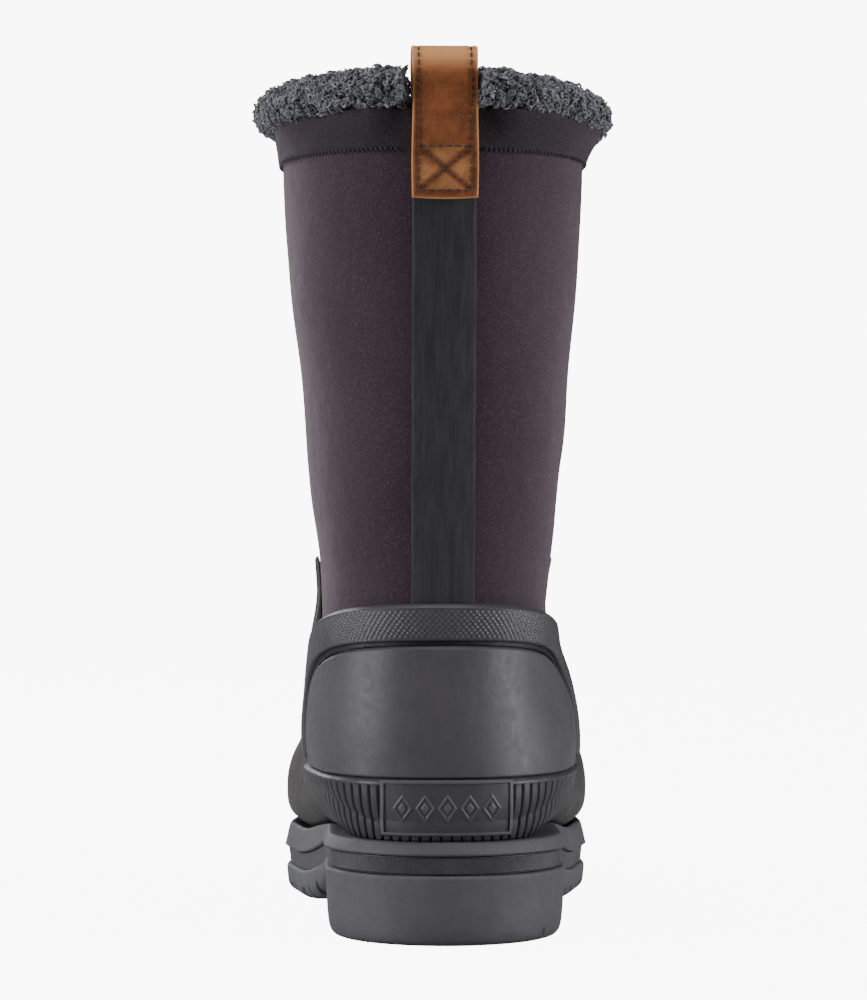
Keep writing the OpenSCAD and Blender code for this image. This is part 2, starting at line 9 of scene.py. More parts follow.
import bmesh
import bpy
import mathutils
import numpy as np
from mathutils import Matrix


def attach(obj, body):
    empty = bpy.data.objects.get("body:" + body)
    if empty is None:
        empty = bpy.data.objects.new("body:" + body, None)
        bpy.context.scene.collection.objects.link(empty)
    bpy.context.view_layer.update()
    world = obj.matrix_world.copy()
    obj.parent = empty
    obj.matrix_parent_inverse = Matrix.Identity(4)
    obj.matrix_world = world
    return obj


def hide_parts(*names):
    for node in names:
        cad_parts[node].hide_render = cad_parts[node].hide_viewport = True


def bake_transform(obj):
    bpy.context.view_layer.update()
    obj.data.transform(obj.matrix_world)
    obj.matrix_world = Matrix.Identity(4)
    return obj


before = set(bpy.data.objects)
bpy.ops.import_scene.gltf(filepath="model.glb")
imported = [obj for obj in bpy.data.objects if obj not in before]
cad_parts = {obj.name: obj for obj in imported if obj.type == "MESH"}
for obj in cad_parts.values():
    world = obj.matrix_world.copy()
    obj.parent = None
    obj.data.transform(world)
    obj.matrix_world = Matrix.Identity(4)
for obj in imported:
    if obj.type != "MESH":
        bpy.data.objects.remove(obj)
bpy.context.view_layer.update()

# ---- Sizes, in millimetres ----

HEEL_CENTRE = 38.0              # from the back of the heel to the row frame's origin
SOLE_LENGTH = 272.0
HEEL_HALF_WIDTH = 38.7
BALL_HALF_WIDTH = 53.4
HEEL_HEIGHT = 22.6
TREAD_HEIGHT = 10.3
RAND_HEIGHT = 5.9
WELT_HEIGHT = 4.4
TOE_SPRING = 9.0
HEEL_BREAST = 78.0              # where the heel block ends
LUG_DEPTH = 4.0
HEEL_ROUND = 40.0               # where the outline of the heel has come round to its sides
BALL_Y = 172.0                  # where the sole is widest
RAMP = (60.0, 90.0)             # where the sole starts to slope down from the heel, and over what length
SPRING_FROM = 195.0             # where the toe starts to lift
WAIST = (84.0, 41.0)            # where the tread starts to reach the ground, and over what length
WAIST_THICKNESS = 5.0

RIM_HEIGHT = 262.0
NEOPRENE = 3.5                  # thickness
PILE = 3.6                      # thickness of the lining in the leg, and in the foot
FOOT_PILE = 2.8
RUBBER = 1.5                    # thickness of the shell
OVERLAY_TOP = 122.0
OVERLAY_LOW = 0.3               # the ring at the overlay's lower edge, in front
OVERLAY_FOOT = 78.0             # height of its lower back corners
OVERLAY_ANGLE = (98.0, 92.0)    # where those corners and the upper ones stand round the heel

RIB_TOP = 53.0
RIB_PITCH = (3.1, 5.2)          # degrees round the heel, at the back and at the sides
COUNTER_TOP = 94.5
COLLAR_WIDTH = 10.5
LABEL_SIZE = (42.0, 17.8)
LABEL_SHIFT = 1.0

CUFF_SEAM = 249.5
CUFF_FLARE = 4.6
STRIP_WIDTH = 20.3
TAB_WIDTH = 20.6
LEATHER = 1.6
TAB_FOOT = 234.0
TAB_TOP = 282.0
TAB_BOX = (2.2, 13.8)           # where the boxed cross starts on the strap, and its height
TAB_SEAM = 2.1                  # from its edge to its stitches
TAB_OUTER = 2.5                 # how far the strap stands off the neoprene
TAB_INNER = -NEOPRENE - PILE - 2.5
LOOP_BASE = RIM_HEIGHT + 1.9
TAB_SLOT = 10.9                 # half the opening for the strap in the fleece, in degrees of turn
CURL_DEPTH = 1.3                # how far the roll under the curls is drawn in

GAP = 0.25                      # air between neighbouring layers
PIVOT = 150.0                   # y and z of the line that the rings fan about
RING_PITCH = 100.0              # length of boot per unit of q, beyond the fan
WALL_REACH = 146.0              # roughly how far the wall of the heel is from the pivot
UNDER_REACH = 114.0             # and the underside of the last
HEEL_POWER = 30                 # how tightly the last turns under the heel
LAST_TOE = 268.0                # where the last ends, starts to narrow, and starts to come down
TOE_TAPER = 170.0
TOE_DOWN = 215.0
TIP_DROP = 111.0                # from the pivot down to the tip of the toe
BOTTOM_GAP = 3.3                # from the welt to the underside of the last
HEEL_HUB = 62.0                 # y of the upright line that angles round the heel are measured about

SOCK = -NEOPRENE - 0.5          # outer face of the lining
SHELL_IN = 1.1                  # inner and outer face of the shell
SHELL_OUT = SHELL_IN + RUBBER
TRIM = SHELL_OUT + 0.35         # where the overlays on the shell start

SHELL_BACK = 92.0               # top of the shell behind, under the collar
COUNTER_ANGLE = 80.0            # how far these two reach round the heel
FOXING_ANGLE = 106.0
FOXING_LOW = 33.4
GROOVE = 2.6                    # between the counter and the collar
ARCH_POWER = 2.4                # how square the arch over the counter is

FILL = 0.42                     # how much of the studio light the paper sends back onto the boot
BACKDROP = 9.0                  # how bright the paper looks
SIDE_WATTS = 30.0
TOP_WATTS = 14.0
AIR = 0.2                       # even light from all round
LENS = 132.0
EYE = (-0.0533, -1.1438, 0.14)  # from the back of the heel, in metres
EYE_TURN = 2.5                  # degrees

CREASE = 40                     # edges that turn by more degrees than this look sharp

rng = np.random.default_rng(7)


# ---- Curves ----

def clamp(t, lo=0.0, hi=1.0):
    return np.clip(t, lo, hi)


def ease(t):
    c = clamp(t)
    return c * c * (3 - 2 * c)


def mix(a, b, t):
    return a + (b - a) * t


def power(x, n):
    return np.sign(x) * np.abs(x) ** n


def unit(v):
    return v / np.maximum(np.linalg.norm(v, axis=-1, keepdims=True), 1e-9)


def rounded(distance, radius):
    """How far a rounded edge has risen, from 0 at the edge to 1 at radius from it."""
    return np.sqrt(clamp(1 - (1 - clamp(distance / radius)) ** 2))


def smooth_curve(*points):
    """A smooth curve through control points, held level beyond both ends."""
    at, value = np.array(points, float).T
    rise = np.diff(value) / np.diff(at)
    slope = np.concatenate([rise[:1], (rise[1:] + rise[:-1]) / 2, rise[-1:]])

    def curve(t):
        t = np.clip(t, at[0], at[-1])
        i = np.clip(np.searchsorted(at, t, side="right") - 1, 0, len(at) - 2)
        h = at[i + 1] - at[i]
        s = (t - at[i]) / h
        return ((2 * s ** 3 - 3 * s ** 2 + 1) * value[i] + (s ** 3 - 2 * s ** 2 + s) * h * slope[i]
                + (3 * s ** 2 - 2 * s ** 3) * value[i + 1] + (s ** 3 - s ** 2) * h * slope[i + 1])
    return curve


# Outlines of the last. Rings are numbered by q: 0 is the ball, 1 is just above the ankle, 2.2 the rim.
FRONT_REACH = smooth_curve(
    (-0.9, 89), (-0.6, 84), (-0.35, 79), (-0.15, 74.5), (0, 69), (0.14, 61.4), (0.27, 54.6),
    (0.46, 46.8), (0.64, 40.9), (1, 34), (1.5, 28.5), (2.2, 23))
BACK_LINE = smooth_curve(
    (30, 4.2), (60, 3.5), (85, 5), (110, 7), (145, 4.6), (180, 1), (230, -2.5), (270, -4.2))
HALF_WIDTH = smooth_curve(
    (-0.2, 51), (0, 49), (0.17, 44.3), (0.33, 41.3), (0.5, 41), (0.58, 39.2), (0.68, 36.3),
    (0.8, 37.6), (0.92, 40.2), (1, 41.2), (1.3, 44), (1.6, 46.9), (1.9, 48.8), (2.2, 49.3))
CENTRE_LINE = smooth_curve(
    (-1.2, 12), (-0.7, 8), (-0.3, 5.5), (0, 4.7), (0.25, 3.2), (0.5, 1.8), (0.58, 1.0), (0.68, -1.0),
    (0.82, -0.4), (0.95, -0.7), (1.15, -0.1), (1.55, -1), (2, -1.1))
WIDEST_AT = smooth_curve(
    (-1.2, 0.6), (-0.5, 0.7), (0, 0.7), (0.33, 0.66), (0.6, 0.57), (0.8, 0.5), (1.2, 0.5))
SOLE_WIDTH = smooth_curve(
    (HEEL_ROUND, HEEL_HALF_WIDTH), (70, 38.6), (98, 39.5), (130, 45.5), (BALL_Y, BALL_HALF_WIDTH))
SOLE_CENTRE = smooth_curve(
    (0, 1.8), (50, 2.2), (110, 3.4), (165, 4.7), (200, 6.5), (240, 10), (SOLE_LENGTH, 12.5))


# ---- Sole levels ----

def tread_top(y):
    pitch = (HEEL_HEIGHT - TREAD_HEIGHT) * (1 - ease((y - RAMP[0]) / RAMP[1]))
    spring = np.maximum(0, (y - SPRING_FROM) / (SOLE_LENGTH - SPRING_FROM)) ** 2
    return TREAD_HEIGHT + pitch + TOE_SPRING * spring


def rand_top(y):
    return tread_top(y) + RAND_HEIGHT


def welt_top(y):
    return rand_top(y) + WELT_HEIGHT


def tread_bottom(y):
    return tread_top(y) - mix(WAIST_THICKNESS, TREAD_HEIGHT, ease((y - WAIST[0]) / WAIST[1]))


# ---- The last: rings that fan from the shaft round the heel and out to the toe ----

def ring_turn(q):
    return 90 * (1 - clamp(q))


def ring_y(q):
    return PIVOT - RING_PITCH * np.minimum(0, q)


def ring_z(q):
    return PIVOT + RING_PITCH * np.maximum(0, q - 1)


def toe_half(y, d):
    return np.sqrt(np.maximum(0.00002, 1 - (np.maximum(0, y - TOE_TAPER) / (LAST_TOE - TOE_TAPER + d)) ** 2))


def toe_rise(y, d):
    return np.sqrt(np.maximum(0.00002, 1 - (np.maximum(0, y - TOE_DOWN) / (LAST_TOE - TOE_DOWN + d)) ** 2))


def back_reach(q):
    turn = ring_turn(q)
    low_wall = np.maximum(30, PIVOT - WALL_REACH * np.tan(np.radians(np.minimum(60, turn))))
    wall_z = np.where(q >= 1, ring_z(q), low_wall)
    low_under = np.maximum(0, PIVOT - UNDER_REACH / np.tan(np.radians(np.maximum(30, turn))))
    under_y = np.where(q <= 0, ring_y(q), low_under)
    wall = np.cos(np.radians(turn)) / (PIVOT - BACK_LINE(wall_z))
    under = np.sin(np.radians(turn)) / (PIVOT - welt_top(under_y) - BOTTOM_GAP)
    return (wall ** HEEL_POWER + under ** HEEL_POWER) ** (-1 / HEEL_POWER)


def ring(q, d):
    """One ring at offset d: front reach, back reach, middle, half width, centre and both powers."""
    y = ring_y(q)
    lift = toe_rise(y, d)
    front = TIP_DROP - (TIP_DROP - FRONT_REACH(q)) * lift
    back = TIP_DROP + (back_reach(q) - TIP_DROP) * np.sqrt(lift)
    middle = mix(front, back, WIDEST_AT(q))
    grow = d * np.minimum(1, toe_half(y, d) * 1.6)
    half = (HALF_WIDTH(q) + d) * toe_half(y, d)
    return (middle - front + grow, back - middle + grow, middle, half, CENTRE_LINE(q),
            mix(2, 2.2, ease(q)), mix(3.8, 2.25, ease((q - 0.3) / 0.3)))


def last(q, turn, d):
    """Points on the last. Turn 0 is the front or top of a ring, 90 its inner side, 180 its back."""
    q, turn, d = np.broadcast_arrays(np.asarray(q, float), turn, d)
    front, back, middle, half, centre, n_front, n_back = ring(q, d)
    c, s = np.cos(np.radians(turn)), np.sin(np.radians(turn))
    n = np.where(c >= 0, n_front, n_back)
    reach = middle - np.where(c >= 0, front, back) * power(c, 2 / n)
    tilt = np.radians(ring_turn(q))
    return np.stack([centre + half * power(s, 2 / n),
                     ring_y(q) - reach * np.cos(tilt),
                     ring_z(q) - reach * np.sin(tilt)], -1)


def q_of_z(z):
    return 1 + (z - PIVOT) / RING_PITCH


def q_of_y(y):
    return (PIVOT - y) / RING_PITCH


def q_at_z(turn, z, d, steps=24):
    """The ring at which the last reaches a height."""
    turn, z, d = np.broadcast_arrays(np.asarray(turn, float), z, d)
    lo, hi = np.zeros(turn.shape), np.full(turn.shape, 1.2)
    for _ in range(steps):
        m = (lo + hi) / 2
        above = last(m, turn, d)[..., 2] > z
        lo, hi = np.where(above, lo, m), np.where(above, m, hi)
    return (lo + hi) / 2


def round_heel(p):
    """Angle round the heel of a point, from the back towards +X, in degrees."""
    return np.degrees(np.arctan2(p[..., 0], HEEL_HUB - p[..., 1]))


def heel_place(angle, z, d):
    """The ring and turn at which the last meets an angle round the heel and a height."""
    angle, z, d = np.broadcast_arrays(np.asarray(angle, float), z, d)
    lo, hi = np.full(angle.shape, 72.0), np.full(angle.shape, 288.0)
    for _ in range(9):
        m = (lo + hi) / 2
        over = round_heel(last(q_at_z(m, z, d, 11), m, d)) > angle
        lo, hi = np.where(over, m, lo), np.where(over, hi, m)
    turn = (lo + hi) / 2
    q = q_at_z(turn, z, d)
    for _ in range(5):
        q, turn = newton_step(q, turn, d, angle, z)
    return q, turn


def newton_step(q, turn, d, angle, z, dq=1e-4, dt=1e-2):
    p, along, across = last(q, turn, d), last(q + dq, turn, d), last(q, turn + dt, d)
    miss_angle, miss_z = round_heel(p) - angle, p[..., 2] - z
    a, b = (round_heel(along) - round_heel(p)) / dq, (round_heel(across) - round_heel(p)) / dt
    c, e = (along - p)[..., 2] / dq, (across - p)[..., 2] / dt
    area = a * e - b * c
    area = np.where(np.abs(area) < 1e-6, 1e-6, area)
    q = q - clamp((miss_angle * e - b * miss_z) / area, -0.01, 0.01)
    turn = turn - clamp((a * miss_z - c * miss_angle) / area, -1.5, 1.5)
    return q, turn


def turn_at_x(q, x, d):
    half, n = ring(q, d)[3], ring(q, d)[6]
    return 180 - np.sign(x) * np.degrees(np.arcsin(clamp(np.abs(x) / half) ** (n / 2)))


def on_back(x, z, d):
    """Points at width x and height z on the back of the boot."""
    x, z, d = np.broadcast_arrays(np.asarray(x, float), z, d)
    q = np.where(z > PIVOT, q_of_z(z), q_at_z(180.0, z, d))
    for _ in range(2):
        turn = turn_at_x(q, x - CENTRE_LINE(q), d)
        q = np.where(z > PIVOT, q_of_z(z), q_at_z(turn, z, d))
    return last(q, turn_at_x(q, x - CENTRE_LINE(q), d), d)


def back_y(z, d):
    return BACK_LINE(z) - d


# ---- Meshes ----

def grid_faces(columns, rows, wrap=False):
    """Quads of a grid of points. wrap joins the last column to the first."""
    i = np.arange(columns if wrap else columns - 1)[:, None]
    j = np.arange(rows - 1)[None]
    k = (i + 1) % columns
    return np.stack([i * rows + j, k * rows + j, k * rows + j + 1, i * rows + j + 1], -1).reshape(-1, 4)


def slab(outer, inner, wrap=False):
    """A closed solid between two grids of points of the same size."""
    columns, rows = outer.shape[:2]
    count = columns * rows
    skin = grid_faces(columns, rows, wrap)
    i = np.arange(columns if wrap else columns - 1)
    k = (i + 1) % columns
    low, high = np.stack([k, i], -1) * rows, np.stack([i, k], -1) * rows + rows - 1
    edges = [low, high]
    if not wrap:
        j = np.arange(rows - 1)
        edges.append(np.stack([j, j + 1], -1))
        edges.append(np.stack([j + 1, j], -1) + (columns - 1) * rows)
    edges = np.concatenate(edges)
    rims = np.stack([edges[:, 0], edges[:, 1], edges[:, 1] + count, edges[:, 0] + count], -1)
    points = np.concatenate([outer.reshape(-1, 3), inner.reshape(-1, 3)])
    return points, np.concatenate([skin, skin[:, ::-1] + count, rims])


def ring_faces(rings, around, close=False):
    """Quads between closed rings of points. close joins the last ring to the first."""
    i = np.arange(rings if close else rings - 1)[:, None]
    j = np.arange(around)[None]
    n, k = (i + 1) % rings * around, (j + 1) % around
    return np.stack([i * around + j, i * around + k, n + k, n + j], -1).reshape(-1, 4)


def tubes(paths, radius, sides=6):
    """Closed tubes along many paths at once: paths is (count, steps, 3) and radius (count, steps).
    sides is even."""
    count, steps = paths.shape[:2]
    forward = unit(np.gradient(paths, axis=1))
    guide = unit(np.cross(paths[:, -1] - paths[:, 0], paths[:, steps // 2] - paths[:, 0]) + 1e-4)
    side = unit(np.cross(forward, guide[:, None]))
    up = np.cross(side, forward)
    angle = np.arange(sides) * 2 * np.pi / sides
    ring_points = (paths[:, :, None] + radius[..., None, None]
                   * (np.cos(angle)[:, None] * side[:, :, None] + np.sin(angle)[:, None] * up[:, :, None]))
    fan = np.array([[0, m, m + 1, m + 2] for m in range(1, sides - 2, 2)])
    one = np.concatenate([ring_faces(steps, sides), fan[:, ::-1], fan + (steps - 1) * sides])
    faces = (one[None] + (np.arange(count) * steps * sides)[:, None, None]).reshape(-1, 4)
    return ring_points.reshape(-1, 3), faces


def join(*parts):
    """Several (points, faces) pairs as one."""
    points, faces, start = [], [], 0
    for p, f in parts:
        points.append(p)
        faces.append(f + start)
        start += len(p)
    return np.concatenate(points), np.concatenate(faces)


def volume(points, faces):
    a, b, c, d = (points[faces[:, i]] for i in range(4))
    return (np.einsum("ij,ij->i", a, np.cross(b, c)) + np.einsum("ij,ij->i", a, np.cross(c, d))).sum()


def linked(name, data):
    """A new object in the scene."""
    made = bpy.data.objects.new(name, data)
    bpy.context.scene.collection.objects.link(made)
    return made


def piece(name, shape, material, body, replaces=(), slot=None, **attributes):
    """Makes a mesh of a (points, faces) pair. body is a body to fix it to, or "ankle" or "tab" to leave it
    fixed to no body."""
    points, faces = shape
    if volume(points, faces) < 0:
        faces = faces[:, ::-1]
    mesh = bpy.data.meshes.new(name)
    mesh.from_pydata(((points - (0, HEEL_CENTRE, 0)) * 0.001).tolist(), [], faces.tolist())
    rest = mesh.attributes.new("rest", "FLOAT_VECTOR", "POINT")
    rest.data.foreach_set("vector", points.astype(np.float32).ravel())
    for key, values in attributes.items():
        kept = mesh.attributes.new(key, "FLOAT", "POINT")
        kept.data.foreach_set("value", np.asarray(values, np.float32).ravel())
    mesh.shade_smooth()
    mesh.set_sharp_from_angle(angle=math.radians(CREASE))
    mesh.materials.append(material)
    obj = linked(name, mesh)
    if body == "ankle":
        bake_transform(obj)
    elif body == "tab":
        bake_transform(obj)
    else:
        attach(obj, body)
    if replaces:
        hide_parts(*replaces)
    return obj


def ripple(p, size, seed=0):
    """A soft wavy field over points, about -1 to 1, with bumps of roughly a size in millimetres."""
    waves = np.random.default_rng(seed)
    total = np.zeros(p.shape[:-1])
    for _ in range(7):
        direction = unit(waves.normal(size=3)) / size * waves.uniform(0.7, 1.4)
        total += np.sin(2 * np.pi * (p @ direction) + waves.uniform(0, 2 * np.pi))
    return total / 3.2


def hatch(along, across, pitch):
    """Height of a cross-hatched surface: small raised lozenges, from 0 in the grooves to 1."""
    def saw(t):
        return np.abs((t / pitch) % 1 - 0.5) * 2
    return clamp(np.minimum(1 - saw(along + across), 1 - saw(along - across)) * 2.2)


def walked(points):
    """Distance walked along the first axis of a grid of points."""
    steps = np.linalg.norm(np.diff(points, axis=0), axis=-1)
    return np.concatenate([np.zeros((1,) + steps.shape[1:]), np.cumsum(steps, axis=0)])


def walked_up(points):
    """Distance walked along the second axis of a grid of points."""
    return walked(np.swapaxes(points, 0, 1)).T


def round_steps(count):
    """Turns of a full round, as a column."""
    return np.linspace(0, 360, count, endpoint=False)[:, None]


def both_faces(values):
    """Values for the points of a slab, the same on its outer and inner grids."""
    return np.concatenate([values.ravel()] * 2)


def outer_face(values, inner=0.0):
    """Values for the points of a slab, with one level value on its inner grid."""
    return np.concatenate([values.ravel(), np.full(values.size, inner)])


def sewn(centres, along, outward, length, radius, lift=0.25):
    """Stitches: short threads that rise out of the cloth at one end and sink back at the other."""
    s = np.linspace(-1, 1, 7)
    arc = (1 - np.abs(s) ** 2.5) * (radius + lift) - lift
    paths = (centres[:, None] + s[None, :, None] * along[:, None] * length / 2
             + arc[None, :, None] * outward[:, None])
    width = np.broadcast_to(radius * (1 - 0.25 * np.abs(s) ** 3), paths.shape[:2])
    return tubes(paths, width)


# ---- Materials ----

class Shader:
    """A node material. Each method adds nodes and returns the socket they end in."""

    def __init__(self, name, coordinates="rest"):
        self.material = bpy.data.materials.new(name)
        self.material.use_nodes = True
        self.nodes = self.material.node_tree.nodes
        self.links = self.material.node_tree.links
        self.nodes.clear()
        self.surface = self.nodes.new("ShaderNodeBsdfPrincipled")
        output = self.nodes.new("ShaderNodeOutputMaterial")
        self.links.new(self.surface.outputs[0], output.inputs[0])
        self.relief = None
        if coordinates == "rest":
            self.place = self.attribute("rest", "Vector")
        else:
            metres = self.node("ShaderNodeTexCoord").outputs["Object"]
            self.place = self.stretch(metres, (1000, 1000, 1000))

    def feed(self, socket, value):
        if isinstance(value, bpy.types.NodeSocket):
            self.links.new(value, socket)
        elif socket.type == "RGBA" and len(value) == 3:
            socket.default_value = (*value, 1)
        else:
            socket.default_value = value

    def node(self, kind, inputs=None, **settings):
        made = self.nodes.new(kind)
        for key, value in settings.items():
            setattr(made, key, value)
        for key, value in (inputs or {}).items():
            self.feed(made.inputs[key], value)
        return made

    def attribute(self, name, output="Fac"):
        return self.node("ShaderNodeAttribute", attribute_name=name).outputs[output]

    def stretch(self, vector, scale):
        inputs = {0: vector, 1: scale}
        return self.node("ShaderNodeVectorMath", inputs, operation="MULTIPLY").outputs[0]

    def noise(self, scale, detail=2.0, rough=0.5, vector=None, warp=0.0):
        inputs = {"Vector": vector or self.place, "Scale": scale, "Detail": detail, "Roughness": rough,
                  "Distortion": warp}
        return self.node("ShaderNodeTexNoise", inputs).outputs[0]

    def cells(self, scale):
        inputs = {"Vector": self.place, "Scale": scale}
        return self.node("ShaderNodeTexVoronoi", inputs).outputs["Distance"]

    def calc(self, operation, a, b=0.0):
        return self.node("ShaderNodeMath", {0: a, 1: b}, operation=operation).outputs[0]

    def spread(self, value, low, high, to_low=0.0, to_high=1.0):
        inputs = {"Value": value, "From Min": low, "From Max": high, "To Min": to_low, "To Max": to_high}
        return self.node("ShaderNodeMapRange", inputs).outputs[0]

    def between(self, factor, a, b):
        made = self.node("ShaderNodeMix", data_type="RGBA")
        self.feed(made.inputs[0], factor)
        self.feed(made.inputs[6], a)
        self.feed(made.inputs[7], b)
        return made.outputs[2]

    def bump(self, height, depth, strength=1.0):
        """Adds relief of a depth in millimetres."""
        inputs = {"Height": height, "Distance": depth * 0.001, "Strength": strength}
        if self.relief:
            inputs["Normal"] = self.relief
        self.relief = self.node("ShaderNodeBump", inputs).outputs[0]

    def done(self, **inputs):
        for key, value in inputs.items():
            self.feed(self.surface.inputs[key.replace("_", " ")], value)
        if self.relief:
            self.feed(self.surface.inputs["Normal"], self.relief)
        return self.material


def shade(colour, factor):
    return tuple(min(1.0, c * factor) for c in colour)


def rubber(name, colour, rough, grain, raised=None):
    """Moulded rubber: a fine grain, cloudy bloom and faint scuffs, lighter where it stands proud."""
    g = Shader(name)
    cloud = g.spread(g.noise(0.045, 4, 0.6), 0.3, 0.7)
    tone = g.between(cloud, shade(colour, 0.86), shade(colour, 1.16))
    speck = g.noise(3.2, 2)
    tone = g.between(g.spread(speck, 0.6, 0.75, 0, 0.25), tone, shade(colour, 1.6))
    if raised:
        tone = g.between(g.attribute("raised"), tone, raised)
    scuff = g.noise(0.16, 5, 0.7, warp=1.5)
    g.bump(g.noise(0.22, 3), 0.16)
    g.bump(speck, grain)
    return g.done(Base_Color=tone, Roughness=g.spread(scuff, 0.35, 0.75, rough - 0.05, rough + 0.12))


def knit(name, colour, sheen):
    """Fine knit facing on neoprene: columns of small loops, with a heathered yarn."""
    g = Shader(name)
    heather = g.noise(1.5, 2, 0.6)
    cloud = g.spread(g.noise(0.03, 3), 0.3, 0.7)
    tone = g.between(cloud, shade(colour, 0.85), shade(colour, 1.12))
    tone = g.between(g.spread(heather, 0.5, 0.78), tone, shade(colour, 2.3))
    tone = g.between(g.spread(heather, 0.46, 0.28, 0, 0.5), tone, shade(colour, 0.45))
    round_way = g.attribute("round_mm")
    column = g.calc("ABSOLUTE", g.calc("SINE", g.calc("MULTIPLY", round_way, math.pi / 0.75)))
    height = g.node("ShaderNodeSeparateXYZ", {0: g.place}).outputs[2]
    loop = g.calc("ABSOLUTE", g.calc("SINE", g.calc("MULTIPLY", height, math.pi / 0.6)))
    g.bump(g.noise(0.09, 3), 0.5)
    g.bump(g.calc("MULTIPLY", column, g.calc("ADD", loop, 0.4)), 0.035)
    g.bump(heather, 0.1)
    return g.done(Base_Color=tone, Roughness=0.75, Sheen_Weight=sheen, Sheen_Roughness=0.45,
                  Sheen_Tint=(0.82, 0.68, 0.79), Specular_IOR_Level=0.22)


def pile(name, colour, root_shade=0.35):
    """Curled pile: each curl has its own tone, read from the attribute "tone", which carries painted shade,
    and the pile is painted darker where its fibre relief sinks, as painted shade at the roots.
    """
    g = Shader(name)
    fibre = g.noise(2.4, 3, 0.7, warp=0.8)
    tone = g.between(g.attribute("tone"), shade(colour, 0.62), shade(colour, 1.7))
    # Painted shade at the roots: darker where the fibre relief sinks.
    tone = g.between(g.spread(fibre, 0.3, 0.52, root_shade, 0), tone, shade(colour, 0.3))
    g.bump(fibre, 0.25)
    g.bump(g.noise(6.0, 2), 0.05)
    return g.done(Base_Color=tone, Roughness=0.9, Sheen_Weight=0.35, Sheen_Roughness=0.5,
                  Sheen_Tint=(0.85, 0.85, 0.95), Specular_IOR_Level=0.15)


def suede(name, colour):
    """Oiled suede: brushed nap in soft patches, with paler raw edges and a paler bend at the top."""
    g = Shader(name)
    patch = g.spread(g.noise(0.13, 4, 0.6, warp=0.6), 0.36, 0.66)
    nap = g.noise(2.2, 4, 0.65)
    tone = g.between(patch, shade(colour, 0.62), shade(colour, 1.35))
    tone = g.between(g.spread(nap, 0.42, 0.75, 0, 0.5), tone, shade(colour, 1.9))
    pale = (0.74, 0.34, 0.14)
    tone = g.between(g.calc("MULTIPLY", g.attribute("bend"), 0.9), tone, pale)
    worn = g.calc("MULTIPLY", g.attribute("worn"), g.spread(patch, 0, 1, 0.2, 0.75))
    tone = g.between(worn, tone, shade(pale, 0.75))
    tone = g.between(g.attribute("edge"), tone, shade(pale, 0.85))
    g.bump(g.noise(0.5, 3), 0.12)
    g.bump(nap, 0.12)
    return g.done(Base_Color=tone, Roughness=0.82, Sheen_Weight=0.3, Sheen_Roughness=0.4,
                  Sheen_Tint=(1, 0.75, 0.55), Specular_IOR_Level=0.25)


def tape(name, colour):
    """Glossy rubberised tape with faint streaks along it."""
    g = Shader(name)
    streak = g.noise(1.0, 3, 0.6, vector=g.stretch(g.place, (0.9, 0.9, 0.03)))
    tone = g.between(g.spread(streak, 0.35, 0.7), shade(colour, 0.8), shade(colour, 1.35))
    g.bump(g.noise(0.06, 2), 0.35)
    g.bump(g.noise(2.5, 2), 0.02)
    return g.done(Base_Color=tone, Roughness=g.spread(streak, 0.3, 0.7, 0.32, 0.5), Coat_Weight=0.1,
                  Coat_Roughness=0.3)


def thread(name, colour):
    """Twisted thread."""
    g = Shader(name)
    twist = g.noise(4.0, 2, vector=g.stretch(g.place, (1, 1, 2)))
    g.bump(twist, 0.08)
    return g.done(Base_Color=g.between(twist, shade(colour, 0.6), shade(colour, 1.7)), Roughness=0.7,
                  Sheen_Weight=0.2)


def fibre(name, colour, grain, coordinates="object"):
    """Pressed fibre, felt or foam: mottled, with small pits that are painted darker, as painted shade in
    them.
    """
    g = Shader(name, coordinates)
    pits = g.cells(grain)
    mottle = g.noise(grain * 1.5, 4, 0.7)
    tone = g.between(g.spread(mottle, 0.3, 0.7), shade(colour, 0.7), shade(colour, 1.25))
    # Painted shade in the pits.
    tone = g.between(g.spread(pits, 0.0, 0.3, 0.5, 0), tone, shade(colour, 0.4))
    g.bump(mottle, 0.2)
    g.bump(pits, 0.15)
    return g.done(Base_Color=tone, Roughness=0.85, Specular_IOR_Level=0.2)


def rolled_steel(name, colour):
    """Rolled steel strip, brushed along its length."""
    g = Shader(name, "object")
    brushed = g.noise(6.0, 3, 0.6, vector=g.stretch(g.place, (1, 0.04, 1)))
    g.bump(brushed, 0.01)
    return g.done(Base_Color=g.between(brushed, shade(colour, 0.8), shade(colour, 1.1)), Metallic=1.0,
                  Roughness=g.spread(brushed, 0.3, 0.7, 0.25, 0.45))


HEEL_RUBBER = rubber("heel_rubber", (0.088, 0.086, 0.098), 0.66, 0.05)
TREAD_RUBBER = rubber("tread_rubber", (0.1, 0.1, 0.112), 0.64, 0.05)
RAND_RUBBER = rubber("rand_rubber", (0.062, 0.06, 0.069), 0.45, 0.01)
# Darker than the welt's own pale grey, partly as painted shade for the shadow the foxing casts on it.
WELT_RUBBER = rubber("welt_rubber", (0.084, 0.083, 0.094), 0.62, 0.04)
SHELL_RUBBER = rubber("shell_rubber", (0.034, 0.029, 0.032), 0.46, 0.02)
OVERLAY_RUBBER = rubber("overlay_rubber", (0.034, 0.032, 0.037), 0.4, 0.02)
COUNTER_RUBBER = rubber("counter_rubber", (0.068, 0.064, 0.073), 0.5, 0.015)
COLLAR_RUBBER = rubber("collar_rubber", (0.052, 0.049, 0.056), 0.42, 0.015, (0.1, 0.096, 0.108))
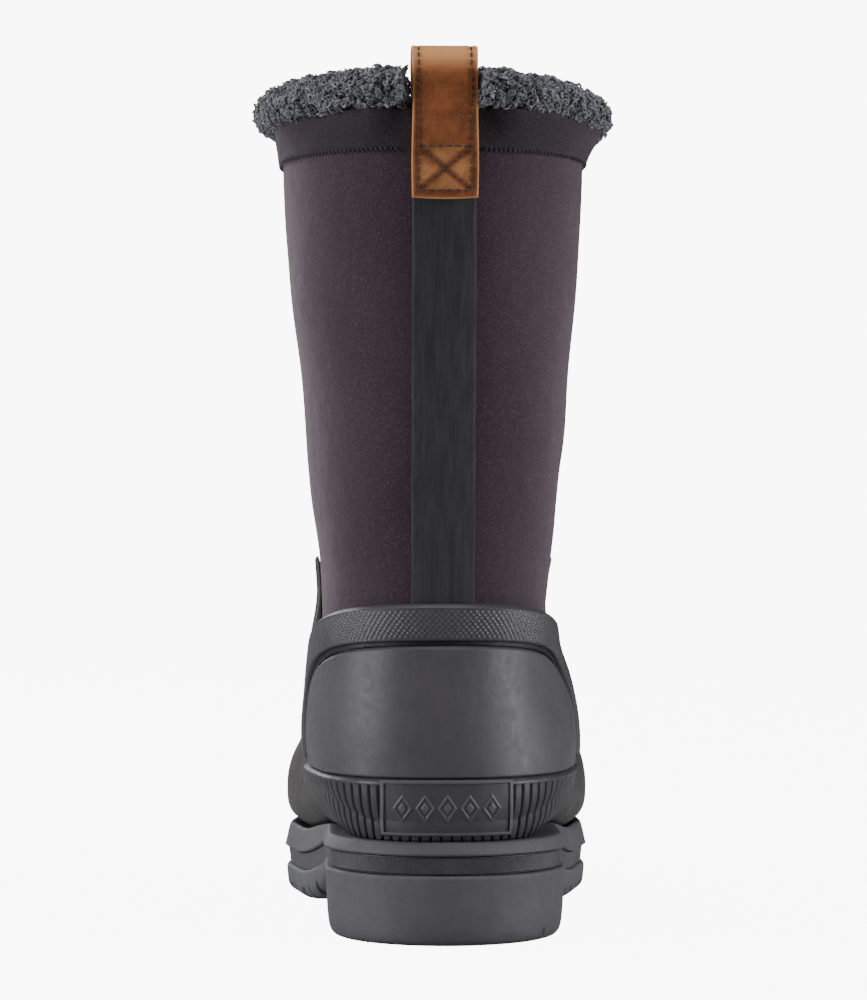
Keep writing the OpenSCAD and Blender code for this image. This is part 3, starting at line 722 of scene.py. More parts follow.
# On the foxing, the lighter colour mixed in by "raised" is a painted highlight: strongest along the bead,
# weaker on the rib faces, so the grooves stay darker as painted shade.
FOXING_RUBBER = rubber("foxing_rubber", (0.034, 0.033, 0.038), 0.45, 0.02, (0.062, 0.06, 0.068))
LABEL_RUBBER = rubber("label_rubber", (0.05, 0.048, 0.055), 0.5, 0.02, (0.095, 0.093, 0.103))
# Near black: the seal's own dark rubber, with painted shade for the shadow under the collar's overhanging
# edge.
GASKET = rubber("gasket", (0.006, 0.006, 0.008), 0.6, 0.01)
NEOPRENE_KNIT = knit("neoprene_knit", (0.034, 0.02, 0.03), 0.6)
CUFF_KNIT = knit("cuff_knit", (0.022, 0.016, 0.021), 0.3)
FLEECE = pile("fleece", (0.2, 0.2, 0.225))
# The roll under the curls is painted much darker than the curls, as painted shade deep among them.
FLEECE_ROOT_SHADE = pile("fleece_root_shade", (0.05, 0.05, 0.058))
LINING = pile("lining", (0.1, 0.1, 0.112), 0.5)
TAB_SUEDE = suede("tab_suede", (0.22, 0.07, 0.024))
TAB_THREAD = thread("tab_thread", (0.035, 0.014, 0.008))
CUFF_THREAD = thread("cuff_thread", (0.03, 0.024, 0.03))
OVERLAY_THREAD = thread("overlay_thread", (0.05, 0.047, 0.054))
STRIP_TAPE = tape("strip_tape", (0.03, 0.029, 0.035))
FELT = fibre("felt", (0.11, 0.105, 0.12), 0.7, "rest")
FOAM = fibre("foam", (0.22, 0.14, 0.09), 0.5, "rest")
BOARD = fibre("board", (0.42, 0.31, 0.18), 1.0)
STIFFENER = fibre("stiffener", (0.5, 0.45, 0.36), 1.4)
STEEL = rolled_steel("steel", (0.45, 0.46, 0.48))


# ---- Sock: neoprene and lining ----

def sock_rows(d, q_top, toe_rows, foot_rows, leg_rows):
    """Rings from the toe to the top, packed closely where the toe rounds off and where the heel turns."""
    toe = q_of_y(PIVOT + (LAST_TOE + d - PIVOT) * np.cos(np.radians(np.linspace(0.6, 90, toe_rows))))
    foot = np.linspace(0, 1, foot_rows)[1:] ** 0.8
    leg = np.linspace(1, q_top, leg_rows)[1:]
    return np.concatenate([toe, foot, leg])


def neoprene_sock():
    """The neoprene, with soft ripples and a crease round the ankle."""
    turn = round_steps(360)
    q = sock_rows(0, q_of_z(RIM_HEIGHT), 24, 110, 120)[None]
    flat = last(q, turn, 0.0)
    settle = ease((flat[..., 2] - 124) / 14) * ease((235 - flat[..., 2]) / 20)
    crease = np.exp(-((flat[..., 2] - 128 - 6 * np.sin(np.radians(turn * 2 + 40))) / 5.5) ** 2)
    d = settle * (0.45 * ripple(flat, 60, 1) - 0.35 * crease * (0.5 + 0.5 * ripple(flat, 45, 2)))
    outer = last(q, turn, np.broadcast_to(d, flat.shape[:2]))
    inner = last(q, turn, -NEOPRENE)
    piece("neoprene_sock", slab(outer, inner, True), NEOPRENE_KNIT, "ankle",
          ("ankle_neoprene", "shaft_neoprene"), "neoprene", round_mm=both_faces(walked(flat)))


def pile_lining():
    turn = round_steps(300)
    q = sock_rows(SOCK, q_of_z(RIM_HEIGHT - 0.3), 16, 90, 150)[None]
    outer = last(q, turn, SOCK)
    thick = mix(FOOT_PILE, PILE, ease((q - 0.75) / 0.2))
    curl = ripple(outer, 3.2, 3) + 0.6 * ripple(outer, 2.1, 4)
    inner = last(q, turn, SOCK - thick + 0.55 * curl)
    # Tone: darker where the pile is thinner, as painted shade in its hollows.
    tone = clamp(0.45 - 0.4 * curl)
    piece("pile_lining", slab(outer, inner, True), LINING, "ankle", ("foot_lining", "shaft_lining"),
          "lining_pile", tone=both_faces(tone))


# ---- Shaft ----

def back_strip():
    across = np.linspace(-1, 1, 41)[:, None]
    z = np.linspace(98, CUFF_SEAM - 0.8, 220)[None]
    edge = (1 - np.abs(across)) * STRIP_WIDTH / 2
    lip = 0.12 * np.exp(-((edge - 0.9) / 0.45) ** 2)
    x = across * STRIP_WIDTH / 2 + 0 * z
    place = on_back(x, z, 0.7)
    d = 0.35 + 0.95 * rounded(edge, 0.6) + lip + 0.12 * ripple(place, 40, 5) * rounded(edge, 3)
    outer = on_back(x, z, np.broadcast_to(d, x.shape))
    piece("back_strip_tape", slab(outer, on_back(x, z, 0.15)), STRIP_TAPE, "ankle", ("back_strip",),
          "strip_rubber")


def flat_at_tab(turn):
    return 1 - np.exp(-((turn - 180) / 18) ** 6)


def cuff_out(turn, z):
    """Offset of the cuff's outer face: it swells above the seam, then flares outwards."""
    swell = 0.4 + 1.1 * rounded(z - CUFF_SEAM, 1.6)
    outward = mix(CUFF_FLARE, CUFF_FLARE * 0.35, ease(-np.sin(np.radians(turn)) * 1.4))
    return swell + outward * flat_at_tab(turn) * ease((z - CUFF_SEAM) / 12)


def cuff():
    turn = round_steps(420)
    z = np.linspace(CUFF_SEAM, RIM_HEIGHT - 0.3, 34)[None]
    place = last(q_of_z(z), turn, 2.0)
    wave = 0.35 * ripple(place, 34, 6) * ease((z - CUFF_SEAM) / 5)
    outer = last(q_of_z(z), turn, cuff_out(turn, z) + wave * flat_at_tab(turn))
    inner = last(q_of_z(z), turn, 0.2)
    piece("cuff_fold", slab(outer, inner, True), CUFF_KNIT, "shaft", ("cuff_band",), "cuff",
          round_mm=both_faces(walked(place)))


def cuff_sewing():
    """A row of short stitches that pucker the seam under the cuff."""
    count = 196
    turn = (np.arange(count) + 0.5) * 360 / count
    turn = turn[np.abs(turn - 180) > 12]
    z = CUFF_SEAM + 0.1
    at = last(q_of_z(z), turn, 0.75)
    along = unit(last(q_of_z(z + 0.5), turn + 0.25, 0.75) - last(q_of_z(z - 0.5), turn - 0.25, 0.75))
    outward = unit(last(q_of_z(z), turn, 2.0) - last(q_of_z(z), turn, 0.0))
    piece("cuff_sewing", sewn(at, along, outward, 1.7, 0.33, 0.3), CUFF_THREAD, "shaft", ("cuff_stitches",),
          "cuff_thread")


def clear_of_tab(turn):
    """0 between the legs of the strap and 1 elsewhere."""
    return 1 - np.exp(-((turn - 180) / TAB_SLOT) ** 20)


def trim_roll(turn, a, shrink):
    """The soft roll over the rim, pressed flat between the legs of the strap and lower at both sides."""
    full = clear_of_tab(turn)
    low = mix(4.2, 1.8, ease(0.5 - np.sin(np.radians(turn)) / 1.2)) * np.sin(np.radians(turn)) ** 2
    d = mix(-2.9, 0.7, full) + (mix(3.6, 8.6, full) - shrink) * np.cos(a)
    z = RIM_HEIGHT + mix(1.6, 6.3, full) - low * full + (mix(1.6, 7.0, full) - shrink * full) * np.sin(a)
    return last(q_of_z(z), turn, d)


def fleece_lump(place):
    """Clumps of pile: rounded bumps with narrow clefts between them."""
    return 1.1 * (1 - 2.2 * np.abs(ripple(place, 9, 8)) ** 0.8) * 0.6 + 0.45 * ripple(place, 4, 9)


def fleece():
    """A lumpy roll covered in short curls. The roll is painted dark, as painted shade under the curls, and
    the roll and curls are painted darker in the clefts between clumps, as painted shade.
    """
    steps, around = 720, 72
    turn = round_steps(steps)
    a = np.linspace(0, 2 * np.pi, around, endpoint=False)[None]
    lump = fleece_lump(trim_roll(turn, a, CURL_DEPTH))
    roll = trim_roll(turn, a, CURL_DEPTH - lump * clear_of_tab(turn))
    faces = ring_faces(steps, around, True)[:, [0, 3, 2, 1]]
    # Tone of the roll: lighter on the clumps and darker in the clefts between them, as painted shade.
    piece("fleece_roll", (roll.reshape(-1, 3), faces), FLEECE_ROOT_SHADE, "shaft", ("fleece_trim",), "fleece",
          tone=clamp(0.5 + 0.3 * lump))
    curls, tone = fleece_curls(12500)
    piece("fleece_curls", curls, FLEECE, "shaft", (), "fleece", tone=tone)


def fleece_curls(count):
    """Short curls that stand on the roll, each with its own turn, size, lean and tone; the tones are partly
    the pile's own and mostly painted shade among the curls, darker in the clefts between clumps.
    """
    turn = rng.uniform(0, 360, count * 2)
    turn = turn[np.abs(turn - 180) >= 10.6][:count]
    a = rng.uniform(-0.8 * np.pi, 1.15 * np.pi, count)
    lump = fleece_lump(trim_roll(turn, a, CURL_DEPTH))
    shrink = 1.25 - lump
    base = trim_roll(turn, a, shrink)
    side = unit(trim_roll(turn + 0.4, a, shrink) - base)
    over = unit(trim_roll(turn, a + 0.04, shrink) - base)
    out = unit(np.cross(over, side))
    centre = trim_roll(turn, a, 5.0)
    out *= np.sign(np.einsum("ij,ij->i", out, base - centre))[:, None]
    spin = rng.uniform(0, 2 * np.pi, count)[:, None]
    right = np.cos(spin) * side + np.sin(spin) * over
    ahead = -np.sin(spin) * side + np.cos(spin) * over
    steps, sides = 8, 4
    s = np.linspace(0, 1, steps)[None]
    size = rng.uniform(0.42, 0.85, count)[:, None]
    rise = rng.uniform(0.7, 1.5, count)[:, None]
    turns = rng.uniform(0.7, 1.25, count)[:, None] * 2 * np.pi
    lean = rng.normal(0, 0.35, (count, 2, 1))
    x = size * np.sin(turns * s) + lean[:, 0] * s
    y = size * (1 - np.cos(turns * s)) + lean[:, 1] * s
    h = rise * np.sin(np.pi * clamp(s * 0.9)) - 0.35
    paths = (base[:, None] + x[..., None] * right[:, None] + y[..., None] * ahead[:, None]
             + h[..., None] * out[:, None])
    radius = rng.uniform(0.26, 0.4, count)[:, None] * (1 - 0.45 * s ** 4)
    # Painted shade: each curl's tone is spread at random, partly its own tone and mostly shade among the
    # curls, and is darker in the clefts between clumps.
    tone = np.repeat(clamp(rng.normal(0.42 + 0.3 * lump, 0.22)), steps * sides)
    return tubes(paths, radius, sides), tone


# ---- Pull tab ----

def strap_path():
    """Centre line of the strap, from its outer foot over the loop to its inner foot, as (y, z) points."""
    half = LEATHER / 2
    rim_out, rim_in = back_y(LOOP_BASE, TAB_OUTER) - half, back_y(LOOP_BASE, TAB_INNER) + half
    low = np.linspace(TAB_FOOT, LOOP_BASE, 46)
    outer_leg = np.stack([back_y(low, TAB_OUTER) - half, low], -1)
    bow_foot = TAB_TOP - 11
    a = np.linspace(0, np.pi, 60)
    bow = np.stack([mix(rim_out, rim_in, (1 - np.cos(a)) / 2),
                    bow_foot + (TAB_TOP - bow_foot - half) * np.sin(a)], -1)
    high = np.linspace(LOOP_BASE, TAB_FOOT + 6, 40)
    inner_leg = np.stack([back_y(high, TAB_INNER) + half, high], -1)
    rise = np.linspace(LOOP_BASE, bow_foot, 12)[1:-1]
    up = np.stack([np.full(len(rise), rim_out), rise], -1)
    down = np.stack([np.full(len(rise), rim_in), rise[::-1]], -1)
    path = np.concatenate([outer_leg, up, bow, down, inner_leg])
    for _ in range(3):
        path[1:-1] = (path[:-2] + 2 * path[1:-1] + path[2:]) / 4
    return path


def strap_frame(path):
    """Directions along the strap and out of its face, and the distance walked along it."""
    along = unit(np.gradient(path, axis=0))
    outward = np.stack([-along[:, 1], along[:, 0]], -1)
    return along, outward, walked(path)


def pull_tab():
    """The strap: raw edges, a groove under each row of stitches, and a rub round the boxed cross."""
    path = strap_path()
    _, outward, walk = strap_frame(path)
    across = np.sin(np.linspace(-1, 1, 45) * np.pi / 2)[:, None]
    side = (1 - np.abs(across)) * TAB_WIDTH / 2
    end = np.minimum(walk, walk[-1] - walk)[None]
    edge = np.minimum(side, end)
    half = LEATHER / 2 * (0.35 + 0.65 * rounded(edge, 0.8))
    bulge = (1 - ease((walk - 4) / 10))[None] * 0.25 * (1 - across ** 2)
    x = across * (TAB_WIDTH / 2 + 0.18 * np.sin(walk / 7.0)[None])
    droop = -0.5 * (1 - across ** 2) * np.exp(-walk / 1.2)[None]

    def face(sign):
        offset = sign * half + bulge + 0.1 * np.sin(walk / 3.1 + 1.0)[None] * rounded(edge, 3)
        y = path[None, :, 0] + outward[None, :, 0] * offset
        z = path[None, :, 1] + outward[None, :, 1] * offset + droop
        return np.stack([x, y, z], -1)

    groove = 0.16 * np.exp(-((side - TAB_SEAM) / 0.45) ** 2)
    front = face(1)
    front[..., 1] -= outward[None, :, 0] * groove
    front[..., 2] -= outward[None, :, 1] * groove
    raw = clamp(1 - edge / 0.75)
    bend = ease((path[:, 1] - (TAB_TOP - 10)) / 7)[None] + 0 * side
    foot, box = TAB_BOX
    box_x = np.abs(x) / (TAB_WIDTH / 2 - TAB_SEAM)
    box_w = np.abs(walk - foot - box / 2)[None] / box * 2
    from_cross = np.abs(box_x - box_w) * (np.maximum(box_x, box_w) < 1)
    worn = ease((from_cross - 0.06) / 0.3)
    piece("pull_strap", slab(front, face(-1)), TAB_SUEDE, "tab", ("pull_tab_anchor", "pull_tab_loop"),
          "tab_leather", edge=outer_face(raw, 0.3), bend=both_faces(bend), worn=outer_face(worn))


def tab_sewing():
    """Rows of stitches down both sides of the strap, and a boxed cross at its foot."""
    path = strap_path()
    along, outward, walk = strap_frame(path)

    def on_strap(x, w):
        """Places on the strap's outer face, and the directions along and out of it there."""
        pick = [np.interp(w, walk, column) for column in (*path.T, *along.T, *outward.T)]
        lift = LEATHER / 2 + 0.25 * (1 - ease((w - 4) / 10)) * (1 - (x / TAB_WIDTH * 2) ** 2) - 0.02
        at = np.stack([x, pick[0] + pick[4] * lift, pick[1] + pick[5] * lift], -1)
        return at, np.stack([0 * x, pick[2], pick[3]], -1), np.stack([0 * x, pick[4], pick[5]], -1)

    def row(start, end):
        """Stitches along a straight line on the strap, between two (x, w) points."""
        start, end = np.array(start), np.array(end)
        length = np.linalg.norm(end - start)
        count = round(length / 2.55)
        share = (np.arange(count) + 0.5) / count
        x, w = start[:, None] + (end - start)[:, None] * share
        at, up, out = on_strap(x, w)
        lean = (end - start) / length
        direction = unit(lean[0] * np.array([1.0, 0, 0]) + lean[1] * up)
        return sewn(at, direction, out, 1.8, 0.32, 0.1)

    inset = TAB_WIDTH / 2 - TAB_SEAM
    foot, box = TAB_BOX
    top = np.interp(TAB_TOP - 1.4, path[:90, 1], walk[:90])
    rows = [row((side * inset, foot), (side * inset, top)) for side in (-1, 1)]
    rows += [row((-inset, w), (inset, w)) for w in (foot, foot + box)]
    rows += [row((-inset + 0.8, foot + 0.8), (inset - 0.8, foot + box - 0.8)),
             row((inset - 0.8, foot + 0.8), (-inset + 0.8, foot + box - 0.8))]
    piece("tab_sewing", join(*rows), TAB_THREAD, "tab", ("pull_tab_stitches",), "tab_thread")


# ---- Rubber foot ----

def shell_top(turn):
    """The ring at the shell's top edge: just under the overlay, then rising to run under the collar."""
    size, corner_z = np.abs(turn), OVERLAY_FOOT + 4
    corner_q, corner_turn = heel_place(OVERLAY_ANGLE[0], corner_z, SHELL_OUT)
    under = mix(OVERLAY_LOW + 0.1, corner_q, clamp(size / corner_turn) ** 1.6)
    behind = q_at_z(turn, mix(corner_z, SHELL_BACK, ease((size - corner_turn) / 45)), SHELL_OUT)
    return np.where(size < corner_turn, under, behind)


def foot_shell():
    turn = np.linspace(-180, 180, 320, endpoint=False)[:, None]
    toe = q_of_y(PIVOT + (LAST_TOE - PIVOT) * np.cos(np.radians(np.linspace(0.6, 90, 50))))
    body = (np.linspace(0, 1, 130)[1:] ** 0.75)[None] * shell_top(turn)
    rows = np.concatenate([np.broadcast_to(toe[None], (len(turn), len(toe))), body], 1)
    edge = (shell_top(turn) - rows) * 150
    outer = last(rows, turn, SHELL_IN + RUBBER * rounded(edge, 1.2))
    piece("foot_rubber", slab(outer, last(rows, turn, SHELL_IN), True), SHELL_RUBBER, "foot", ("foot_shell",),
          "shell_rubber")


def toe_bumper():
    u = np.linspace(-1, 1, 300)[:, None]
    v = np.linspace(0, 1, 60)[None]
    turn = u * mix(128, 134, v)
    q = q_of_y(mix(LAST_TOE + TRIM - 0.02, 228, v ** 1.8))
    place = last(q, turn, TRIM + 1)
    back_edge = (1 - v) * 30 + 0 * u
    side_edge = (1 - np.abs(u)) * 60 + 0 * v
    edge = np.minimum(back_edge, side_edge)
    pattern = hatch(np.degrees(np.arctan2(place[..., 0] - 11, 40.0)) * 0.9, place[..., 2], 2.2)
    d = TRIM + 1.25 * rounded(edge, 1.6) + 0.25 * pattern * ease((edge - 3) / 3)
    piece("toe_bumper_cap", slab(last(q, turn, d), last(q, turn, TRIM)), COLLAR_RUBBER, "foot",
          ("toe_bumper",), "collar_rubber", raised=both_faces(0.3 * pattern))


def overlay_place(across, v, d):
    """Rings and turns on the instep overlay: across runs from -1 to 1, v from its lower to its upper edge."""
    front = mix(OVERLAY_LOW, q_at_z(0.0, OVERLAY_TOP, d), v)
    q, turn = heel_place(mix(*OVERLAY_ANGLE, v), mix(OVERLAY_FOOT, OVERLAY_TOP, v), d)
    return mix(front, q, np.abs(across) ** 1.6), across * turn


def overlay_low(place):
    """Offset of the overlay's inner face: over the shell at its foot, close to the neoprene at its top."""
    start = mix(92, 84, ease(place[..., 0] / 30 + 0.5))
    return mix(TRIM, 0.45, ease((place[..., 2] - start) / 20))


def instep_overlay():
    across = np.linspace(-1, 1, 261)[:, None]
    v = np.linspace(0, 1, 110)[None]
    q, turn = overlay_place(across, v, TRIM)
    place = last(q, turn, TRIM)
    side = np.minimum(walked(place), walked(place[::-1])[::-1])
    up = walked_up(place)
    edge = np.minimum(side, np.minimum(up, up[:, -1:] - up))
    lip = 0.5 * np.exp(-((edge - 1.3) / 0.7) ** 2)
    seam = 0.35 * np.exp(-((edge - 3.6) / 0.5) ** 2)
    low = overlay_low(place)
    d = low + 0.9 * rounded(edge, 0.9) + lip - seam
    inner = last(q, turn, np.where(q > shell_top(turn) + 0.02, np.minimum(low, 0.6), low))
    piece("overlay_panel", slab(last(q, turn, d), inner), OVERLAY_RUBBER, "foot",
          ("instep_overlay", "overlay_piping"), "overlay_rubber")


def overlay_sewing():
    """A row of stitches just inside the overlay's top and side edges."""
    inset, top = 0.972, 0.95
    lines = [(np.full(60, side * inset), np.linspace(0.06, top, 60)) for side in (-1, 1)]
    lines.append((np.linspace(-inset, inset, 240), np.full(240, top)))
    rows = []
    for across, v in lines:
        q, turn = overlay_place(across, v, TRIM)
        at = last(q, turn, overlay_low(last(q, turn, TRIM)) + 0.75)
        out = unit(last(q, turn, TRIM + 2) - last(q, turn, TRIM))
        walk = walked(at)
        spots = np.arange(1.2, walk[-1], 2.6)
        at, along, out = (np.stack([np.interp(spots, walk, values[:, i]) for i in range(3)], -1)
                          for values in (at, np.gradient(at, axis=0), out))
        rows.append(sewn(at, unit(along), out, 1.8, 0.26, 0.2))
    piece("overlay_sewing", join(*rows), OVERLAY_THREAD, "foot", (), "overlay_rubber")


# ---- Heel trim ----

def arch_place(a, grow):
    """Ring and turn on the arch over the heel, grown outwards by an amount."""
    angle = (COUNTER_ANGLE + grow * 1.3) * power(np.cos(a), 2 / ARCH_POWER)
    z = RIB_TOP + GAP + (COUNTER_TOP + grow - RIB_TOP) * np.maximum(0, np.sin(a)) ** (2 / ARCH_POWER)
    return heel_place(angle, z, TRIM)


def arch_steps(count, ends=1.5):
    """Angles along the arch at even distances, as a column."""
    a = np.radians(np.linspace(ends, 180 - ends, 400))
    line = last(*arch_place(a, GROOVE), TRIM)
    walk = walked(line)
    return np.interp(np.linspace(0, walk[-1], count), walk, a)[:, None]


def collar():
    """A rounded collar, cross-hatched, with the pattern fading towards both ends."""
    a = arch_steps(900)
    across = np.linspace(0, 1, 44)[None]
    start = GROOVE - 1.3 * np.sin(a) ** 4
    q, turn = arch_place(a, mix(start, GROOVE + COLLAR_WIDTH - 0.3, across))
    flat = last(q, turn, TRIM + 2)
    along = walked(flat)[:, 22:23] + 0 * across
    over = walked_up(flat)
    edge = np.minimum(over, over[:, -1:] - over)
    ends = np.minimum(along, along[-1:] - along)
    inside, fading = ease((edge - 0.8) / 0.9), ease((ends - 42) / 30)
    pattern = hatch(along, over * 0.95, 1.85) * inside * fading
    crown = 0.5 * (1 - (2 * over / over[:, -1:] - 1) ** 2)
    lip = 0.25 * np.exp(-((over[:, -1:] - over - 0.8) / 0.4) ** 2)
    d = TRIM + 0.2 + (1.6 * rounded(edge, 1.6) + crown + lip) * rounded(ends + 0.05, 2.0)
    d = d - 0.3 * (1 - pattern) * inside * fading
    piece("collar_band", slab(last(q, turn, d), last(q, turn, TRIM + 0.2)), COLLAR_RUBBER, "foot",
          ("counter_collar",), "collar_rubber", raised=both_faces(0.45 * pattern))


def groove_gasket():
    """A near-black seal, sunk a little, between the counter and the collar: its own dark rubber, with painted
    shade for the shadow under the collar's edge.
    """
    across = np.linspace(0, 1, 7)[None]
    q, turn = arch_place(arch_steps(260, 2), mix(0.2, GROOVE - 0.1, across))
    sag = 0.3 * (1 - (2 * across - 1) ** 2)
    piece("groove_gasket", slab(last(q, turn, TRIM + 0.75 - sag), last(q, turn, TRIM)), GASKET, "foot",
          ("counter_gasket",), "gasket")


def heel_counter():
    """The smooth panel under the arch."""
    x = np.sin(np.linspace(-1, 1, 200) * np.pi / 2)[:, None] * 0.992
    v = np.sin(np.linspace(-1, 1, 90) * np.pi / 2)[None] * 0.5 + 0.5
    low = RIB_TOP + GAP
    top = low + (COUNTER_TOP - low) * (1 - np.abs(x) ** ARCH_POWER) ** (1 / ARCH_POWER)
    q, turn = heel_place(COUNTER_ANGLE * x, mix(low, top, v), TRIM)
    flat = last(q, turn, TRIM)
    up = walked_up(flat)
    side = (1 - np.abs(x)) * COUNTER_ANGLE * 0.75 + 0 * v
    edge = np.minimum(np.minimum(up, up[:, -1:] - up) + 0.02, side + 0.02)
    d = TRIM + 1.35 * rounded(edge, 1.1) + 0.35 * ease(edge / 16)
    piece("counter_panel", slab(last(q, turn, d), last(q, turn, TRIM)), COUNTER_RUBBER, "foot",
          ("heel_counter",), "counter_rubber")


def turn_under(angle):
    """The height at which a wall round the heel leaves the last and drops straight to the welt."""
    return mix(39.5, 47.5, ease((np.abs(angle) - 12) / 45))


def dropped(points, z, start):
    """Carries a wall straight down below a starting height, drawing in a little."""
    under = np.maximum(0, start - z)[..., None] + 0 * points
    inward = unit(np.stack([-points[..., 0], HEEL_HUB - points[..., 1], 0 * points[..., 0]], -1))
    moved = points + inward * 0.05 * under ** 2
    moved[..., 2] -= under[..., 0]
    return moved


def foxing():
    """The ribbed band: flat ribs with narrow grooves between them, under a bead."""
    angle = np.linspace(FOXING_ANGLE, -FOXING_ANGLE, 1441)[:, None]
    v = np.linspace(0, 1, 44)[None]
    z = mix(FOXING_LOW, RIB_TOP, v ** 1.15)
    start = turn_under(angle)
    q, turn = heel_place(angle, np.maximum(z, start), TRIM)
    pitch = mix(RIB_PITCH[0], RIB_PITCH[1], ease((np.abs(angle) - 15) / 60))
    phase = np.cumsum(np.abs(np.gradient(angle, axis=0)) / pitch, axis=0)
    from_groove = (0.5 - np.abs(phase % 1 - 0.5)) * pitch * 0.8
    down = RIB_TOP - z
    ribbed = ease((down - 1.3) / 0.6)
    rib = (1 - np.exp(-(from_groove / 0.3) ** 2)) * ribbed + (1 - ribbed)
    rib = rib * ease((z - FOXING_LOW) / 0.8)
    bead = 0.22 * np.exp(-((down - 0.75) / 0.55) ** 2)
    wave = 0.08 * np.sin(phase * 2 * np.pi * 0.5) * np.exp(-((down - 0.75) / 0.8) ** 2)
    ends = np.minimum(FOXING_ANGLE - angle, FOXING_ANGLE + angle) * 0.8 + 0.05
    edge = np.minimum(ends, np.minimum(z - FOXING_LOW, down) + 0.05)
    d = TRIM + (1.1 * rounded(edge, 0.8) + 0.85 * rib + bead + wave) * rounded(ends, 1.5)
    # Painted highlight along the bead and on the rib faces; the grooves stay darker, as painted shade.
    tone = clamp(0.25 * rib + bead * 1.1)
    shape = slab(dropped(last(q, turn, d), z, start), dropped(last(q, turn, TRIM + 0.2), z, start))
    piece("foxing_ribs", shape, FOXING_RUBBER, "foot", ("ribbed_foxing",), "foxing_rubber",
          raised=both_faces(tone))


def lozenges(x, z):
    """Height of a plain row of nested lozenges."""
    reach = np.abs((x / 7.0 + 0.5) % 1 - 0.5) * 2 * 3.5 / 3.2 + np.abs(z) / 4.6
    outline = np.exp(-((reach - 0.82) / 0.1) ** 2)
    centre = clamp((0.42 - reach) / 0.08)
    return np.maximum(outline, centre) * (np.abs(x) < 17.4)


def label():
    """A plate with a raised frame round a row of lozenges."""
    half_x, half_z = LABEL_SIZE[0] / 2, LABEL_SIZE[1] / 2
    x = np.linspace(-half_x, half_x, 240)[:, None]
    z = np.linspace(-half_z, half_z, 96)[None]
    middle = RIB_TOP - half_z - 0.5
    edge = np.minimum(half_x - np.abs(x), half_z - np.abs(z))
    border = ease((edge - 0.05) / 0.25) * ease((1.35 - edge) / 0.3)
    mark = lozenges(x, z) * ease((edge - 1.8) / 0.3)
    raised = clamp(border + 0.8 * mark)
    low = TRIM + 2.0
    d = low + 0.5 * rounded(edge + 0.02, 0.3) + 0.55 * border + 0.35 * mark
    base_x, base_z = LABEL_SHIFT + x + 0 * z, middle + z + 0 * x
    start = turn_under(np.degrees(np.arctan2(base_x, HEEL_HUB)))
    level = np.maximum(base_z, start)
    outer, inner = on_back(base_x, level, d), on_back(base_x, level, TRIM + 1.2)
    shape = slab(dropped(outer, base_z, start), dropped(inner, base_z, start))
    piece("label_panel", shape, LABEL_RUBBER, "foot", ("label_plate",), "label_rubber",
          raised=outer_face(raised))


# ---- Sole ----

def sole_half(y, inset):
    """Half the width of the sole's outline, moved in by inset."""
    heel = (HEEL_HALF_WIDTH - inset) * np.sqrt(clamp(1 - ((HEEL_ROUND - y) / (HEEL_ROUND - inset)) ** 2))
    toe_length = SOLE_LENGTH - BALL_Y - inset
    toe = (BALL_HALF_WIDTH - inset) * np.sqrt(clamp(1 - ((y - BALL_Y) / toe_length) ** 2))
    return np.where(y < HEEL_ROUND, heel, np.where(y > BALL_Y, toe, SOLE_WIDTH(y) - inset))


def station_y(t, inset):
    """y of a station, for t from 0 at the heel to pi at the toe, on an outline moved in by inset."""
    return mix(inset, SOLE_LENGTH - inset, (1 - np.cos(t)) / 2)


def sole_tube(t, profile, under=None, cross=24):
    """A slab of the sole: stations t along it, and a profile of (inset, z) pairs from its foot to its top.
    under lifts the points of its rings, to cut the tread. cross is how many points cross its top and foot."""
    rights = []
    for inset, z_of in profile:
        y = station_y(t, np.min(inset))
        rights.append(np.stack([sole_half(y, inset), y, z_of(y)], -1))
    right = np.stack(rights, 1)
    left = right[:, ::-1] * (-1, 1, 1)
    share = np.linspace(1, -1, cross + 2)[1:-1]
    top = np.repeat(right[:, -1:], cross, 1)
    top[..., 0] *= share
    foot = np.repeat(right[:, :1], cross, 1)
    foot[..., 0] *= share[::-1]
    loop = np.concatenate([right, top, left, foot], 1)
    loop[..., 0] += SOLE_CENTRE(loop[..., 1])
    if under:
        loop = under(loop)
    return closed_tube(loop)


def closed_tube(loop):
    """A closed solid of a row of rings of points, with each end filled across its middle."""
    count, around = loop.shape[:2]
    m = np.arange(around // 2 - 1)
    cap = np.stack([m, m + 1, around - 2 - m, around - 1 - m], -1)
    faces = np.concatenate([ring_faces(count, around), cap, cap[:, ::-1] + (count - 1) * around])
    return loop.reshape(-1, 3), faces


def sole_piece(name, shape, material, node, slot):
    """A piece of the sole, with the points that meet at its heel and toe welded."""
    mesh = piece(name, shape, material, "foot", (node,), slot).data
    work = bmesh.new()
    work.from_mesh(mesh)
    bmesh.ops.remove_doubles(work, verts=work.verts, dist=1e-6)
    bmesh.ops.recalc_face_normals(work, faces=work.faces)
    work.to_mesh(mesh)
    work.free()


def textured_rand():
    """The band over the tread, cross-hatched at the back."""
    t = np.pi * np.linspace(0, 1, 1000) ** 1.4
    y = station_y(t, 1.6)
    walk = np.concatenate([[0], np.cumsum(np.hypot(np.diff(sole_half(y, 1.6)), np.diff(y)))])
    fade = 1 - ease((y - 22) / 16)
    profile = []
    for v in np.linspace(0, 1, 26):
        edge = min(v, 1 - v) * RAND_HEIGHT
        pattern = hatch(walk, v * RAND_HEIGHT * 0.9, 1.25) * fade * ease((edge - 0.15) / 0.3)
        profile.append((mix(1.0, 0.3, v) + 0.42 * (1 - pattern),
                        lambda y, v=v: mix(tread_top(y), rand_top(y) - GAP, v)))
    sole_piece("rand_band", sole_tube(t, profile), RAND_RUBBER, "textured_rand", "rand_rubber")


